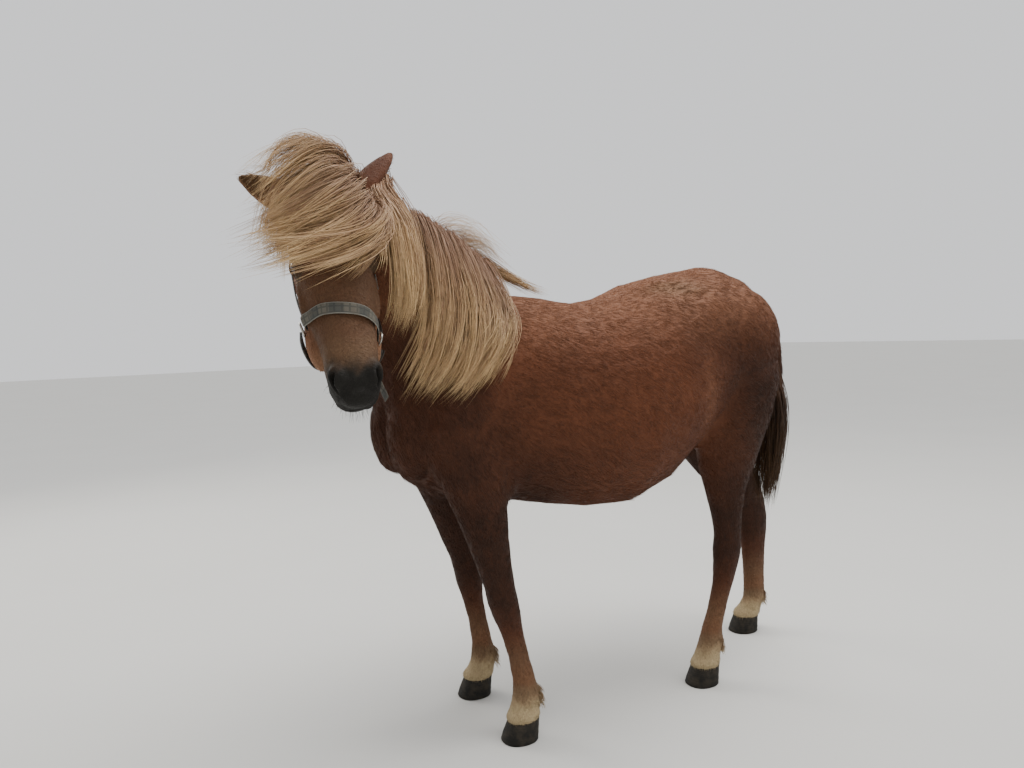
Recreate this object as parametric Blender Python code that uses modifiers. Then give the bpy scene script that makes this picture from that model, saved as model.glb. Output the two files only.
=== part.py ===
"""A Shetland pony as a still, life-size museum model, standing square with its head turned to the left.

Metres, +Z up. The pony faces -Y, and its left side is +X. The origin is on the floor under the middle of the
model's box. The body is built whole from lofted trunks and muscle masses, and is then parted by thin cuts.
"""

import math
import random

import bmesh
import bpy
import numpy as np
from mathutils import Matrix, Vector
from mathutils.bvhtree import BVHTree

# Driving sizes of the whole animal
HEIGHT_AT_WITHERS = 1.00
HEIGHT_AT_CROUP = 1.055
GAP = 0.0003
CUT = 0.0005

# Resolution of the remeshed flesh, and the faces each node keeps
BODY_VOXEL = 0.009
HEAD_VOXEL = 0.0042
BODY_FACES = 3800
HEAD_FACES = 2050

# Where the nodes part
HEAD_CUT = (0.100, -0.595, 1.020)
HEAD_CUT_NORMAL = (0.500, -0.850, 0.150)
NECK_CUT = (0.0, -0.415, 0.885)
NECK_CUT_NORMAL = (0.0, -0.621, 0.783)
DOCK_CUT = 0.5305
LEG_CUTS = (
    ("fore_left_cut", 0.126, -0.412, 0.494, 0.15),
    ("fore_right_cut", -0.126, -0.394, 0.494, 0.15),
    ("hind_left_cut", 0.126, 0.272, 0.530, 0.22),
    ("hind_right_cut", -0.126, 0.430, 0.530, 0.24),
)

# The head: where the poll is, how far the face turns to the left, leans and tilts
POLL = Vector((0.145, -0.727, 1.190))
HEAD_TURN = math.radians(83.0)
FACE_LEAN = math.radians(24.0)
HEAD_TILT = math.radians(4.0)
HEAD_LENGTH = 0.425

# Hair: a lock's usual width and thickness, how far it stays from what it doesn't grow from, and the seeds
LOCK_WIDTH = 0.032
LOCK_THICKNESS = 0.0070
LOCK_CLEARANCE = 0.0055
MANE_SEED = 136
FORELOCK_SEED = 4
TAIL_SEED = 10
FETLOCK_SEED = 7

# Eyes
EYE_RADIUS = 0.0195
EYE_SIDE = 0.0625
EYE_FRONT = -0.034
EYE_DOWN = 0.142


def clear_scene():
    """Removes whatever objects the file starts with."""
    for item in list(bpy.data.objects):
        bpy.data.objects.remove(item)


def collection(name):
    """A new collection linked to the scene."""
    made = bpy.data.collections.new(name)
    bpy.context.scene.collection.children.link(made)
    return made


def material(name, colour, roughness, metallic=0.0):
    """A Principled material with one colour."""
    made = bpy.data.materials.new(name)
    made.use_nodes = True
    shader = made.node_tree.nodes["Principled BSDF"]
    shader.inputs["Base Color"].default_value = (*colour, 1.0)
    shader.inputs["Roughness"].default_value = roughness
    shader.inputs["Metallic"].default_value = metallic
    return made


def mesh_object(name, mesh, where, finish=None):
    """A mesh as a named object in a collection."""
    made = bpy.data.objects.new(name, mesh)
    where.objects.link(made)
    if finish:
        made.data.materials.clear()
        made.data.materials.append(finish)
    return made


def head_axes():
    """Directions of the head: its left side, out of the forehead, and down the face."""
    side = Vector((1.0, 0.0, 0.0))
    front = Vector((0.0, -math.cos(FACE_LEAN), math.sin(FACE_LEAN)))
    down = Vector((0.0, -math.sin(FACE_LEAN), -math.cos(FACE_LEAN)))
    tilt = Matrix.Rotation(-HEAD_TILT, 3, "Y")
    turn = Matrix.Rotation(HEAD_TURN, 3, "Z")
    return [turn @ tilt @ axis for axis in (side, front, down)]


SIDE, FRONT, DOWN = head_axes()


def on_head(side, front, down):
    """A point given by the head's own measures, in the model's frame."""
    return POLL + SIDE * side + FRONT * front + DOWN * down


def ring(top, bottom, half_width, across, sides, square=2.2, low_width=1.0):
    """One cross-section between a top and a bottom point.

    square rounds the corners (2 is an ellipse), and low_width is how wide the lower half is against the upper.
    """
    middle = (top + bottom) / 2
    up = (top - bottom) / 2
    points = []
    for i in range(sides):
        turn = 2 * math.pi * i / sides
        c, s = math.cos(turn), math.sin(turn)
        x = math.copysign(abs(c) ** (2 / square), c)
        z = math.copysign(abs(s) ** (2 / square), s)
        width = half_width * (1 + (low_width - 1) * (0.5 - 0.5 * z))
        points.append(middle + up * z + across * (x * width))
    return points


def loft(name, sections, where, sides=24):
    """A closed body through cross-sections, each (top, bottom, half width, options)."""
    bm = bmesh.new()
    middles = [(Vector(s[0]) + Vector(s[1])) / 2 for s in sections]
    rings = []
    for i, section in enumerate(sections):
        top, bottom, half_width = Vector(section[0]), Vector(section[1]), section[2]
        options = section[3] if len(section) > 3 else {}
        along = middles[min(i + 1, len(sections) - 1)] - middles[max(i - 1, 0)]
        across = (top - bottom).cross(along).normalized()
        points = ring(top, bottom, half_width, across, sides, **options)
        rings.append([bm.verts.new(p) for p in points])
    for low, high in zip(rings, rings[1:]):
        for i in range(sides):
            j = (i + 1) % sides
            bm.faces.new((low[i], low[j], high[j], high[i]))
    bm.faces.new(rings[0])
    bm.faces.new(rings[-1])
    bmesh.ops.recalc_face_normals(bm, faces=bm.faces)
    mesh = bpy.data.meshes.new(name)
    bm.to_mesh(mesh)
    bm.free()
    return mesh_object(name, mesh, where)


def mass(name, centre, radii, where, turn=None, rings=12):
    """An ellipsoid of muscle or bone. turn is a 3x3 matrix of its axes."""
    bm = bmesh.new()
    bmesh.ops.create_uvsphere(bm, u_segments=2 * rings, v_segments=rings, radius=1.0)
    shape = Matrix.Diagonal(Vector(radii)).to_4x4()
    placed = Matrix.Translation(Vector(centre)) @ (turn or Matrix.Identity(3)).to_4x4() @ shape
    bmesh.ops.transform(bm, matrix=placed, verts=bm.verts)
    mesh = bpy.data.meshes.new(name)
    bm.to_mesh(mesh)
    bm.free()
    return mesh_object(name, mesh, where)


def head_turn():
    """The head's axes as a matrix, for masses that are turned with it."""
    return Matrix((SIDE, FRONT, DOWN)).transposed()


def trunk(where):
    """Barrel, withers, croup and breast, as sections across the spine."""
    stations = (
        # y, top, bottom, half width, squareness, lower width
        (-0.575, 0.775, 0.640, 0.080, 2.0, 1.0),
        (-0.545, 0.850, 0.585, 0.122, 2.1, 1.0),
        (-0.480, 0.915, 0.540, 0.152, 2.2, 1.0),
        (-0.390, 0.975, 0.515, 0.168, 2.2, 1.05),
        (-0.300, HEIGHT_AT_WITHERS, 0.512, 0.182, 2.1, 1.16),
        (-0.210, 0.992, 0.493, 0.206, 2.1, 1.14),
        (-0.110, 0.974, 0.476, 0.232, 2.15, 1.08),
        (-0.010, 0.990, 0.472, 0.243, 2.2, 1.05),
        (0.090, 1.022, 0.508, 0.240, 2.25, 1.00),
        (0.190, 1.045, 0.578, 0.225, 2.25, 0.95),
        (0.285, HEIGHT_AT_CROUP, 0.630, 0.210, 2.2, 0.92),
        (0.370, 1.036, 0.660, 0.186, 2.15, 0.95),
        (0.440, 0.992, 0.690, 0.150, 2.1, 1.0),
        (0.490, 0.940, 0.740, 0.105, 2.0, 1.0),
        (0.518, 0.900, 0.790, 0.055, 2.0, 1.0),
    )
    sections = [
        ((0, y, top), (0, y, low), width, {"square": square, "low_width": lower})
        for y, top, low, width, square, lower in stations
    ]
    return loft("trunk", sections, where, 32)


def neck_trunk(where):
    """The neck: crest and underline points, bending to the left up to the poll."""
    sections = (
        ((0.000, -0.200, 0.975), (0.000, -0.430, 0.600), 0.150),
        ((0.000, -0.300, 1.003), (0.000, -0.555, 0.700), 0.128),
        ((-0.003, -0.385, 1.062), (0.000, -0.605, 0.790), 0.108),
        ((-0.003, -0.455, 1.118), (-0.004, -0.632, 0.870), 0.095),
        ((0.008, -0.535, 1.163), (-0.008, -0.652, 0.935), 0.087),
        ((0.035, -0.615, 1.188), (-0.008, -0.676, 0.985), 0.081),
        ((0.072, -0.680, 1.196), on_head(-0.004, -0.196, 0.078), 0.076),
        (on_head(0, -0.030, -0.010), on_head(0, -0.182, 0.100), 0.070),
        (on_head(0, -0.015, 0.030), on_head(0, -0.160, 0.130), 0.062),
    )
    return loft("neck_trunk", sections, where, 28)


def fore_limb(name, side, stations, where):
    """A leg as level sections: height, middle, half length, half width, and how far out it stands."""
    sections = [
        ((side * x, y - long, z), (side * x, y + long, z), wide, {"square": 2.0})
        for z, y, long, wide, x in stations
    ]
    return loft(name, sections, where, 20)


LEFT_FORE = (
    (0.700, -0.445, 0.110, 0.060, 0.112),
    (0.600, -0.428, 0.086, 0.060, 0.120),
    (0.525, -0.416, 0.064, 0.052, 0.126),
    (0.458, -0.403, 0.051, 0.044, 0.128),
    (0.400, -0.391, 0.043, 0.037, 0.129),
    (0.350, -0.379, 0.0375, 0.034, 0.129),
    (0.318, -0.373, 0.0375, 0.036, 0.129),
    (0.288, -0.366, 0.0355, 0.034, 0.129),
    (0.245, -0.354, 0.029, 0.024, 0.129),
    (0.190, -0.340, 0.0265, 0.020, 0.129),
    (0.130, -0.328, 0.0285, 0.022, 0.130),
    (0.092, -0.324, 0.0345, 0.029, 0.131),
    (0.066, -0.331, 0.0310, 0.0285, 0.131),
    (0.044, -0.342, 0.0355, 0.034, 0.132),
    (0.020, -0.348, 0.0380, 0.036, 0.132),
)
RIGHT_FORE = (
    (0.700, -0.445, 0.110, 0.060, 0.112),
    (0.600, -0.420, 0.086, 0.060, 0.120),
    (0.525, -0.400, 0.064, 0.052, 0.126),
    (0.458, -0.382, 0.051, 0.044, 0.128),
    (0.400, -0.367, 0.043, 0.037, 0.129),
    (0.350, -0.352, 0.0375, 0.034, 0.129),
    (0.318, -0.345, 0.0375, 0.036, 0.129),
    (0.288, -0.341, 0.0355, 0.034, 0.129),
    (0.245, -0.334, 0.029, 0.024, 0.129),
    (0.190, -0.323, 0.0265, 0.020, 0.129),
    (0.130, -0.313, 0.0285, 0.022, 0.130),
    (0.092, -0.310, 0.0345, 0.029, 0.131),
    (0.066, -0.318, 0.0310, 0.0285, 0.131),
    (0.044, -0.330, 0.0355, 0.034, 0.132),
    (0.020, -0.336, 0.0380, 0.036, 0.132),
)
LEFT_HIND = (
    (0.850, 0.340, 0.130, 0.080, 0.108),
    (0.750, 0.328, 0.138, 0.084, 0.116),
    (0.670, 0.312, 0.126, 0.080, 0.119),
    (0.600, 0.290, 0.103, 0.070, 0.118),
    (0.540, 0.277, 0.078, 0.060, 0.116),
    (0.480, 0.275, 0.057, 0.047, 0.114),
    (0.420, 0.279, 0.045, 0.036, 0.112),
    (0.375, 0.282, 0.041, 0.031, 0.111),
    (0.335, 0.280, 0.044, 0.032, 0.110),
    (0.295, 0.275, 0.0385, 0.030, 0.110),
    (0.245, 0.263, 0.031, 0.025, 0.110),
    (0.190, 0.244, 0.028, 0.022, 0.110),
    (0.135, 0.225, 0.030, 0.0235, 0.110),
    (0.095, 0.216, 0.0355, 0.029, 0.111),
    (0.068, 0.206, 0.0315, 0.0285, 0.111),
    (0.046, 0.193, 0.0365, 0.034, 0.112),
    (0.020, 0.186, 0.0380, 0.036, 0.112),
)
RIGHT_HIND = (
    (0.850, 0.345, 0.130, 0.080, 0.108),
    (0.750, 0.350, 0.142, 0.084, 0.116),
    (0.670, 0.365, 0.138, 0.080, 0.119),
    (0.600, 0.393, 0.120, 0.074, 0.118),
    (0.540, 0.425, 0.092, 0.060, 0.116),
    (0.480, 0.470, 0.068, 0.047, 0.114),
    (0.420, 0.526, 0.053, 0.036, 0.112),
    (0.375, 0.560, 0.046, 0.031, 0.111),
    (0.335, 0.574, 0.046, 0.032, 0.110),
    (0.295, 0.578, 0.0385, 0.030, 0.110),
    (0.245, 0.577, 0.031, 0.025, 0.110),
    (0.190, 0.575, 0.028, 0.022, 0.110),
    (0.135, 0.573, 0.030, 0.0235, 0.110),
    (0.095, 0.571, 0.0355, 0.029, 0.111),
    (0.068, 0.556, 0.0315, 0.0285, 0.111),
    (0.046, 0.536, 0.0365, 0.034, 0.112),
    (0.020, 0.528, 0.0380, 0.036, 0.112),
)


def muscles(where):
    """Masses that a plain loft doesn't give: shoulders, breast, haunches, stifles, knees and hocks."""
    lean = Matrix.Rotation(math.radians(-32), 3, "X")
    back_lean = Matrix.Rotation(math.radians(24), 3, "X")
    for side in (1, -1):
        word = "left" if side > 0 else "right"
        mass(f"shoulder_{word}", (side * 0.118, -0.415, 0.775), (0.060, 0.085, 0.170), where, lean)
        mass(f"breast_{word}", (side * 0.066, -0.545, 0.690), (0.062, 0.058, 0.082), where)
        mass(f"elbow_{word}", (side * 0.118, -0.370, 0.575), (0.040, 0.046, 0.054), where)
        mass(f"haunch_{word}", (side * 0.114, 0.300, 0.860), (0.094, 0.155, 0.150), where, back_lean)
        mass(f"buttock_{word}", (side * 0.078, 0.378, 0.790), (0.082, 0.104, 0.150), where)
        mass(f"hip_{word}", (side * 0.135, 0.215, 0.930), (0.062, 0.085, 0.070), where)
    mass("stifle_left", (0.122, 0.236, 0.640), (0.058, 0.058, 0.090), where)
    mass("stifle_right", (-0.122, 0.289, 0.640), (0.058, 0.058, 0.090), where)
    mass("hock_point_left", (0.110, 0.308, 0.372), (0.019, 0.020, 0.034), where)
    mass("hock_point_right", (-0.110, 0.603, 0.385), (0.019, 0.020, 0.034), where)


def dock(where):
    """The bony root of the tail, hanging close behind the buttocks."""
    sections = (
        ((0, 0.455, 0.978), (0, 0.435, 0.905), 0.034),
        ((0, 0.507, 0.955), (0, 0.475, 0.890), 0.031),
        ((0, 0.550, 0.912), (0, 0.508, 0.868), 0.028),
        ((0, 0.582, 0.850), (0, 0.532, 0.835), 0.026),
        ((0, 0.588, 0.770), (0, 0.540, 0.765), 0.026),
        ((0, 0.580, 0.690), (0, 0.536, 0.688), 0.022),
    )
    return loft("dock", sections, where, 16)


def skull(where):
    """The head as sections down the face: front and back offsets, half width and shape."""
    stations = (
        # down, front, back, half width, squareness, width of the jaw side against the face side
        (-0.020, -0.022, -0.090, 0.040, 2.0, 1.00),
        (0.005, -0.004, -0.118, 0.054, 2.1, 1.00),
        (0.040, 0.008, -0.148, 0.066, 2.2, 0.92),
        (0.085, 0.014, -0.176, 0.0790, 2.3, 0.82),
        (0.125, 0.015, -0.188, 0.0860, 2.3, 0.74),
        (0.165, 0.010, -0.188, 0.0855, 2.3, 0.72),
        (0.205, 0.004, -0.172, 0.0815, 2.3, 0.72),
        (0.245, 0.000, -0.148, 0.0745, 2.3, 0.73),
        (0.285, -0.002, -0.124, 0.0640, 2.3, 0.78),
        (0.325, -0.003, -0.108, 0.0560, 2.3, 0.86),
        (0.360, -0.005, -0.104, 0.0530, 2.3, 0.91),
        (0.390, -0.012, -0.106, 0.0515, 2.3, 0.92),
        (0.412, -0.026, -0.104, 0.0430, 2.2, 0.90),
        (HEAD_LENGTH, -0.046, -0.092, 0.0280, 2.0, 0.90),
    )
    sections = [
        (
            on_head(0, front, down),
            on_head(0, back, down),
            width,
            {"square": square, "low_width": jaw},
        )
        for down, front, back, width, square, jaw in stations
    ]
    return loft("skull", sections, where, 32)


def head_masses(where):
    """Brows, cheeks, nostril rims, lips and chin."""
    turned = head_turn()
    for side in (1, -1):
        word = "left" if side > 0 else "right"
        mass(f"jowl_{word}", on_head(side * 0.046, -0.118, 0.125), (0.027, 0.062, 0.066), where, turned)
        mass(f"brow_{word}", on_head(side * 0.054, -0.020, 0.118), (0.032, 0.026, 0.037), where, turned)
        mass(f"cheekbone_{word}", on_head(side * 0.067, -0.052, 0.200), (0.0115, 0.0115, 0.060), where, turned)
        mass(f"lids_{word}", eye_centre(side), (0.0232, 0.0232, 0.0232), where, turned)
        mass(f"nostril_{word}", on_head(side * 0.034, -0.026, 0.373), (0.020, 0.022, 0.028), where, turned)
        mass(f"poll_{word}", on_head(side * 0.030, -0.038, 0.008), (0.030, 0.036, 0.034), where, turned)
    mass("upper_lip", on_head(0, -0.048, 0.408), (0.036, 0.030, 0.024), where, turned)
    mass("lower_lip", on_head(0, -0.086, 0.396), (0.028, 0.022, 0.022), where, turned)
    mass("chin", on_head(0, -0.104, 0.372), (0.024, 0.019, 0.022), where, turned)


def eye_centre(side):
    """The middle of an eyeball, on the left (1) or the right (-1)."""
    return on_head(side * EYE_SIDE, EYE_FRONT, EYE_DOWN)


def ear_frame(side):
    """Root point and axes of an ear: out of the cup's side, across it, and up to the tip."""
    root = on_head(0.060 if side > 0 else -0.050, -0.048, -0.008)
    if side > 0:
        up = (-DOWN * 0.76 + SIDE * 0.66 + FRONT * 0.06).normalized()
        opening = (-FRONT * 0.75 + SIDE * 0.65).normalized()
    else:
        up = (-DOWN * 0.50 - SIDE * 0.86 + FRONT * 0.06).normalized()
        opening = (FRONT * 0.75 - SIDE * 0.15 + DOWN * 0.25).normalized()
    across = up.cross(opening).normalized()
    opening = across.cross(up).normalized()
    return root, opening, across, up


EAR_LENGTH = 0.128


def ear(side, where):
    """A leaf-shaped ear, widest a third of the way up and pointed at the tip."""
    root, opening, across, up = ear_frame(side)
    profile = ((-0.12, 0.020, 0.020), (0.10, 0.025, 0.021), (0.35, 0.0285, 0.019),
               (0.58, 0.0250, 0.016), (0.80, 0.0165, 0.011), (1.0, 0.003, 0.003))
    sections = []
    for share, wide, deep in profile:
        middle = root + up * (EAR_LENGTH * share) + opening * (0.010 * share * share)
        sections.append((middle + opening * deep, middle - opening * deep, wide))
    word = "left" if side > 0 else "right"
    return loft(f"ear_{word}", sections, where, 14)


def ear_cup(side, where):
    """The hollow of an ear, cut from its open side."""
    root, opening, across, up = ear_frame(side)
    turned = Matrix((across, opening, up)).transposed()
    centre = root + up * (EAR_LENGTH * 0.44) + opening * 0.020
    return mass("ear_cup", centre, (0.0185, 0.0230, 0.052), where, turned, 6)


def eye_opening(side, where):
    """The almond between the lids, cut through to the eyeball."""
    centre = eye_centre(side)
    out = (SIDE * side * 0.93 + FRONT * 0.37).normalized()
    along = (DOWN * 0.90 - FRONT * 0.44).normalized()
    over = out.cross(along).normalized()
    along = over.cross(out).normalized()
    turned = Matrix((along, over, out)).transposed()
    return mass("eye_opening", centre + out * 0.022, (0.0175, 0.0105, 0.0110), where, turned, 8)


def nostril_opening(side, where):
    """The comma-shaped hollow of a nostril."""
    along = (DOWN * 0.86 - FRONT * 0.50).normalized()
    out = (SIDE * side * 0.72 + FRONT * 0.52 + DOWN * 0.30).normalized()
    over = along.cross(out).normalized()
    out = over.cross(along).normalized()
    turned = Matrix((along, over, out)).transposed()
    centre = on_head(side * 0.056, -0.013, 0.388)
    return mass("nostril_opening", centre, (0.0155, 0.0068, 0.0150), where, turned, 7)


def mouth_line(where):
    """A thin curved groove between the lips, back to the corners of the mouth."""
    rim = [0.055, 0.048, 0.030, 0.0]
    bm = bmesh.new()
    upper, lower = [], []
    steps = 13
    for i in range(steps):
        turn = math.pi * i / (steps - 1)
        side = math.cos(turn) * rim[0]
        forward = math.sin(turn) ** 0.7
        down = 0.345 + 0.088 * forward
        front = -0.070 - 0.004 * forward
        upper.append((side, front + 0.0014, down))
        lower.append((side, front - 0.0014, down))
    inner = 0.80
    rows = []
    for row in (upper, lower):
        outer_ring = [bm.verts.new(on_head(*p)) for p in row]
        inner_ring = [
            bm.verts.new(on_head(p[0] * inner, p[1], 0.345 + (p[2] - 0.345) * 0.86))
            for p in row
        ]
        rows.append((outer_ring, inner_ring))
    (upper_out, upper_in), (lower_out, lower_in) = rows
    for i in range(steps - 1):
        bm.faces.new((upper_out[i], upper_out[i + 1], upper_in[i + 1], upper_in[i]))
        bm.faces.new((lower_in[i], lower_in[i + 1], lower_out[i + 1], lower_out[i]))
        bm.faces.new((lower_out[i], lower_out[i + 1], upper_out[i + 1], upper_out[i]))
        bm.faces.new((upper_in[i], upper_in[i + 1], lower_in[i + 1], lower_in[i]))
    for i in (0, steps - 1):
        bm.faces.new((upper_out[i], upper_in[i], lower_in[i], lower_out[i]))
    bmesh.ops.recalc_face_normals(bm, faces=bm.faces)
    mesh = bpy.data.meshes.new("mouth_line")
    bm.to_mesh(mesh)
    bm.free()
    return mesh_object("mouth_line", mesh, where)


def merged(name, pieces, voxel, smoothing, where):
    """One smooth closed skin over overlapping pieces, which are removed."""
    bm = bmesh.new()
    for piece in pieces:
        bm.from_mesh(piece.data)
    mesh = bpy.data.meshes.new(name)
    bm.to_mesh(mesh)
    bm.free()
    for piece in pieces:
        bpy.data.objects.remove(piece)
    made = mesh_object(name, mesh, where)
    remesh = made.modifiers.new("one_skin", "REMESH")
    remesh.mode = "VOXEL"
    remesh.voxel_size = voxel
    remesh.adaptivity = 0.0
    relax = made.modifiers.new("relax", "SMOOTH")
    relax.factor = 0.5
    relax.iterations = smoothing
    return applied(made)


def applied(item):
    """The object with its modifiers made real."""
    bpy.context.view_layer.update()
    graph = bpy.context.evaluated_depsgraph_get()
    mesh = bpy.data.meshes.new_from_object(item.evaluated_get(graph))
    item.modifiers.clear()
    item.data = mesh
    return item


def boolean(item, others, operation, solver="EXACT"):
    """The object cut by, or joined to, the objects of a collection, which is then emptied."""
    step = item.modifiers.new(operation.lower(), "BOOLEAN")
    step.operation = operation
    step.operand_type = "COLLECTION"
    step.collection = others
    step.solver = solver
    made = applied(item)
    for other in list(others.objects):
        bpy.data.objects.remove(other)
    return made


def plate(name, centre, normal, reach, where):
    """A thin square plate: the saw cut that parts two nodes."""
    bm = bmesh.new()
    bmesh.ops.create_cube(bm, size=1.0)
    shape = Matrix.Diagonal(Vector((reach, reach, CUT))).to_4x4()
    turn = Vector((0, 0, 1)).rotation_difference(Vector(normal)).to_matrix().to_4x4()
    bmesh.ops.transform(bm, matrix=Matrix.Translation(Vector(centre)) @ turn @ shape, verts=bm.verts)
    mesh = bpy.data.meshes.new(name)
    bm.to_mesh(mesh)
    bm.free()
    return mesh_object(name, mesh, where)


def loose_parts(item, where):
    """The separate closed bodies of a mesh, each as an object."""
    bm = bmesh.new()
    bm.from_mesh(item.data)
    bm.verts.ensure_lookup_table()
    seen = set()
    groups = []
    for start in bm.verts:
        if start.index in seen:
            continue
        stack, group = [start], []
        seen.add(start.index)
        while stack:
            vert = stack.pop()
            group.append(vert.index)
            for edge in vert.link_edges:
                other = edge.other_vert(vert)
                if other.index not in seen:
                    seen.add(other.index)
                    stack.append(other)
        groups.append(set(group))
    made = []
    for group in sorted(groups, key=len, reverse=True):
        part = bm.copy()
        part.verts.ensure_lookup_table()
        bmesh.ops.delete(part, geom=[v for v in part.verts if v.index not in group], context="VERTS")
        mesh = bpy.data.meshes.new("loose")
        part.to_mesh(mesh)
        part.free()
        made.append(mesh_object("loose", mesh, where))
    bm.free()
    bpy.data.objects.remove(item)
    return made


def middle_of(item):
    """The mean of an object's points."""
    points = np.array([v.co for v in item.data.vertices])
    return Vector(points.mean(axis=0))


def thinned(item, faces):
    """The object with about the given number of triangles."""
    step = item.modifiers.new("fewer_faces", "DECIMATE")
    item.data.calc_loop_triangles()
    step.ratio = min(1.0, faces / len(item.data.loop_triangles))
    return applied(item)


def surface_of(items):
    """A search tree over the faces of several objects."""
    points, faces = [], []
    for item in items:
        start = len(points)
        points += [v.co.copy() for v in item.data.vertices]
        faces += [[start + i for i in p.vertices] for p in item.data.polygons]
    return BVHTree.FromPolygons(points, faces)


def kept(item, centre, normal):
    """The larger piece of an object on the side of a plane that its normal points to, closed at the cut."""
    bm = bmesh.new()
    bm.from_mesh(item.data)
    cut = bmesh.ops.bisect_plane(
        bm,
        geom=bm.verts[:] + bm.edges[:] + bm.faces[:],
        plane_co=centre,
        plane_no=normal,
        clear_inner=True,
    )
    rim = [g for g in cut["geom_cut"] if isinstance(g, bmesh.types.BMEdge)]
    bmesh.ops.triangle_fill(bm, edges=rim, use_beauty=True)
    bmesh.ops.recalc_face_normals(bm, faces=bm.faces)
    bm.to_mesh(item.data)
    bm.free()
    name, where = item.name, item.users_collection[0]
    pieces = loose_parts(item, where)
    for piece in pieces[1:]:
        bpy.data.objects.remove(piece)
    pieces[0].name = name
    return pieces[0]


def hoof(name, side, middle_y, out, where):
    """A hoof: a truncated cone that leans forward, with a flat sole and a rounded toe."""
    sections = []
    for z, y, long, wide in (
        (0.0, middle_y, 0.0410, 0.0395),
        (0.020, middle_y + 0.005, 0.0385, 0.0372),
        (0.046, middle_y + 0.013, 0.0340, 0.0335),
        (0.053, middle_y + 0.015, 0.0305, 0.0305),
    ):
        sections.append(((side * out, y - long, z), (side * out, y + long, z), wide, {"square": 2.25}))
    return loft(name, sections, where, 16)


def eyeball(name, side, radius, where):
    """An eye, or the socket it sits in."""
    return mass(name, eye_centre(side), (radius, radius, radius), where, head_turn(), 6)


FETLOCKS = (
    ("foreleg_left", 1, -0.3240, 0.131),
    ("foreleg_right", -1, -0.3100, 0.131),
    ("hindleg_left", 1, 0.2160, 0.111),
    ("hindleg_right", -1, 0.5710, 0.111),
)


def coat_core_neck(where):
    """The dense base of the mane, lying against the left of the neck."""
    sections = (
        ((0.004, -0.318, 1.035), (0.120, -0.332, 0.960), 0.014),
        ((0.006, -0.370, 1.082), (0.124, -0.375, 0.955), 0.020),
        ((0.006, -0.430, 1.130), (0.118, -0.435, 0.950), 0.024),
        ((0.010, -0.490, 1.165), (0.112, -0.490, 0.960), 0.025),
        ((0.018, -0.540, 1.190), (0.106, -0.528, 1.010), 0.022),
        ((0.026, -0.570, 1.196), (0.096, -0.548, 1.070), 0.010),
    )
    return loft("mane_core", sections, where, 14)


def coat_core_crest(where):
    """The ridge of roots along the crest that the locks arch out of."""
    sections = []
    for guide in MANE_GUIDES:
        (low_y, low_z), (top_y, top_z) = guide[:2]
        sections.append(((0.0, top_y, top_z + 0.001), (0.0, low_y, low_z - 0.035), 0.025))
    return loft("crest_core", sections, where, 10)


def coat_core_head(where):
    """The dense base of the forelock, between the ears and over the forehead."""
    sections = (
        (on_head(0.000, -0.034, -0.036), on_head(0.000, -0.024, -0.010), 0.018),
        (on_head(-0.002, -0.014, -0.056), on_head(0.000, -0.018, -0.010), 0.027),
        (on_head(-0.006, 0.020, -0.048), on_head(0.000, -0.006, 0.000), 0.044),
        (on_head(-0.012, 0.040, -0.005), on_head(0.000, 0.004, 0.020), 0.056),
        (on_head(-0.016, 0.042, 0.050), on_head(0.000, 0.006, 0.055), 0.056),
        (on_head(-0.022, 0.034, 0.105), on_head(-0.010, 0.010, 0.100), 0.040),
    )
    return loft("forelock_core", sections, where, 12)


def coat_core_tail(where):
    """The dense base of the tail hair, around and below the dock."""
    sections = (
        ((0, 0.562, 0.935), (0, 0.532, 0.890), 0.026),
        ((0, 0.592, 0.870), (0, 0.533, 0.845), 0.040),
        ((0, 0.598, 0.780), (0, 0.533, 0.770), 0.048),
        ((0, 0.590, 0.690), (0, 0.530, 0.685), 0.046),
        ((0, 0.580, 0.600), (0, 0.528, 0.600), 0.038),
        ((0, 0.572, 0.540), (0, 0.535, 0.540), 0.024),
    )
    return loft("tail_core", sections, where, 16)


def named(item, name, finish, where):
    """Puts an object in the pony's collection under its node name and finish."""
    for owner in list(item.users_collection):
        owner.objects.unlink(item)
    where.objects.link(item)
    item.name = name
    item.data.name = name
    item.data.materials.clear()
    item.data.materials.append(finish)
    return item


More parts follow.
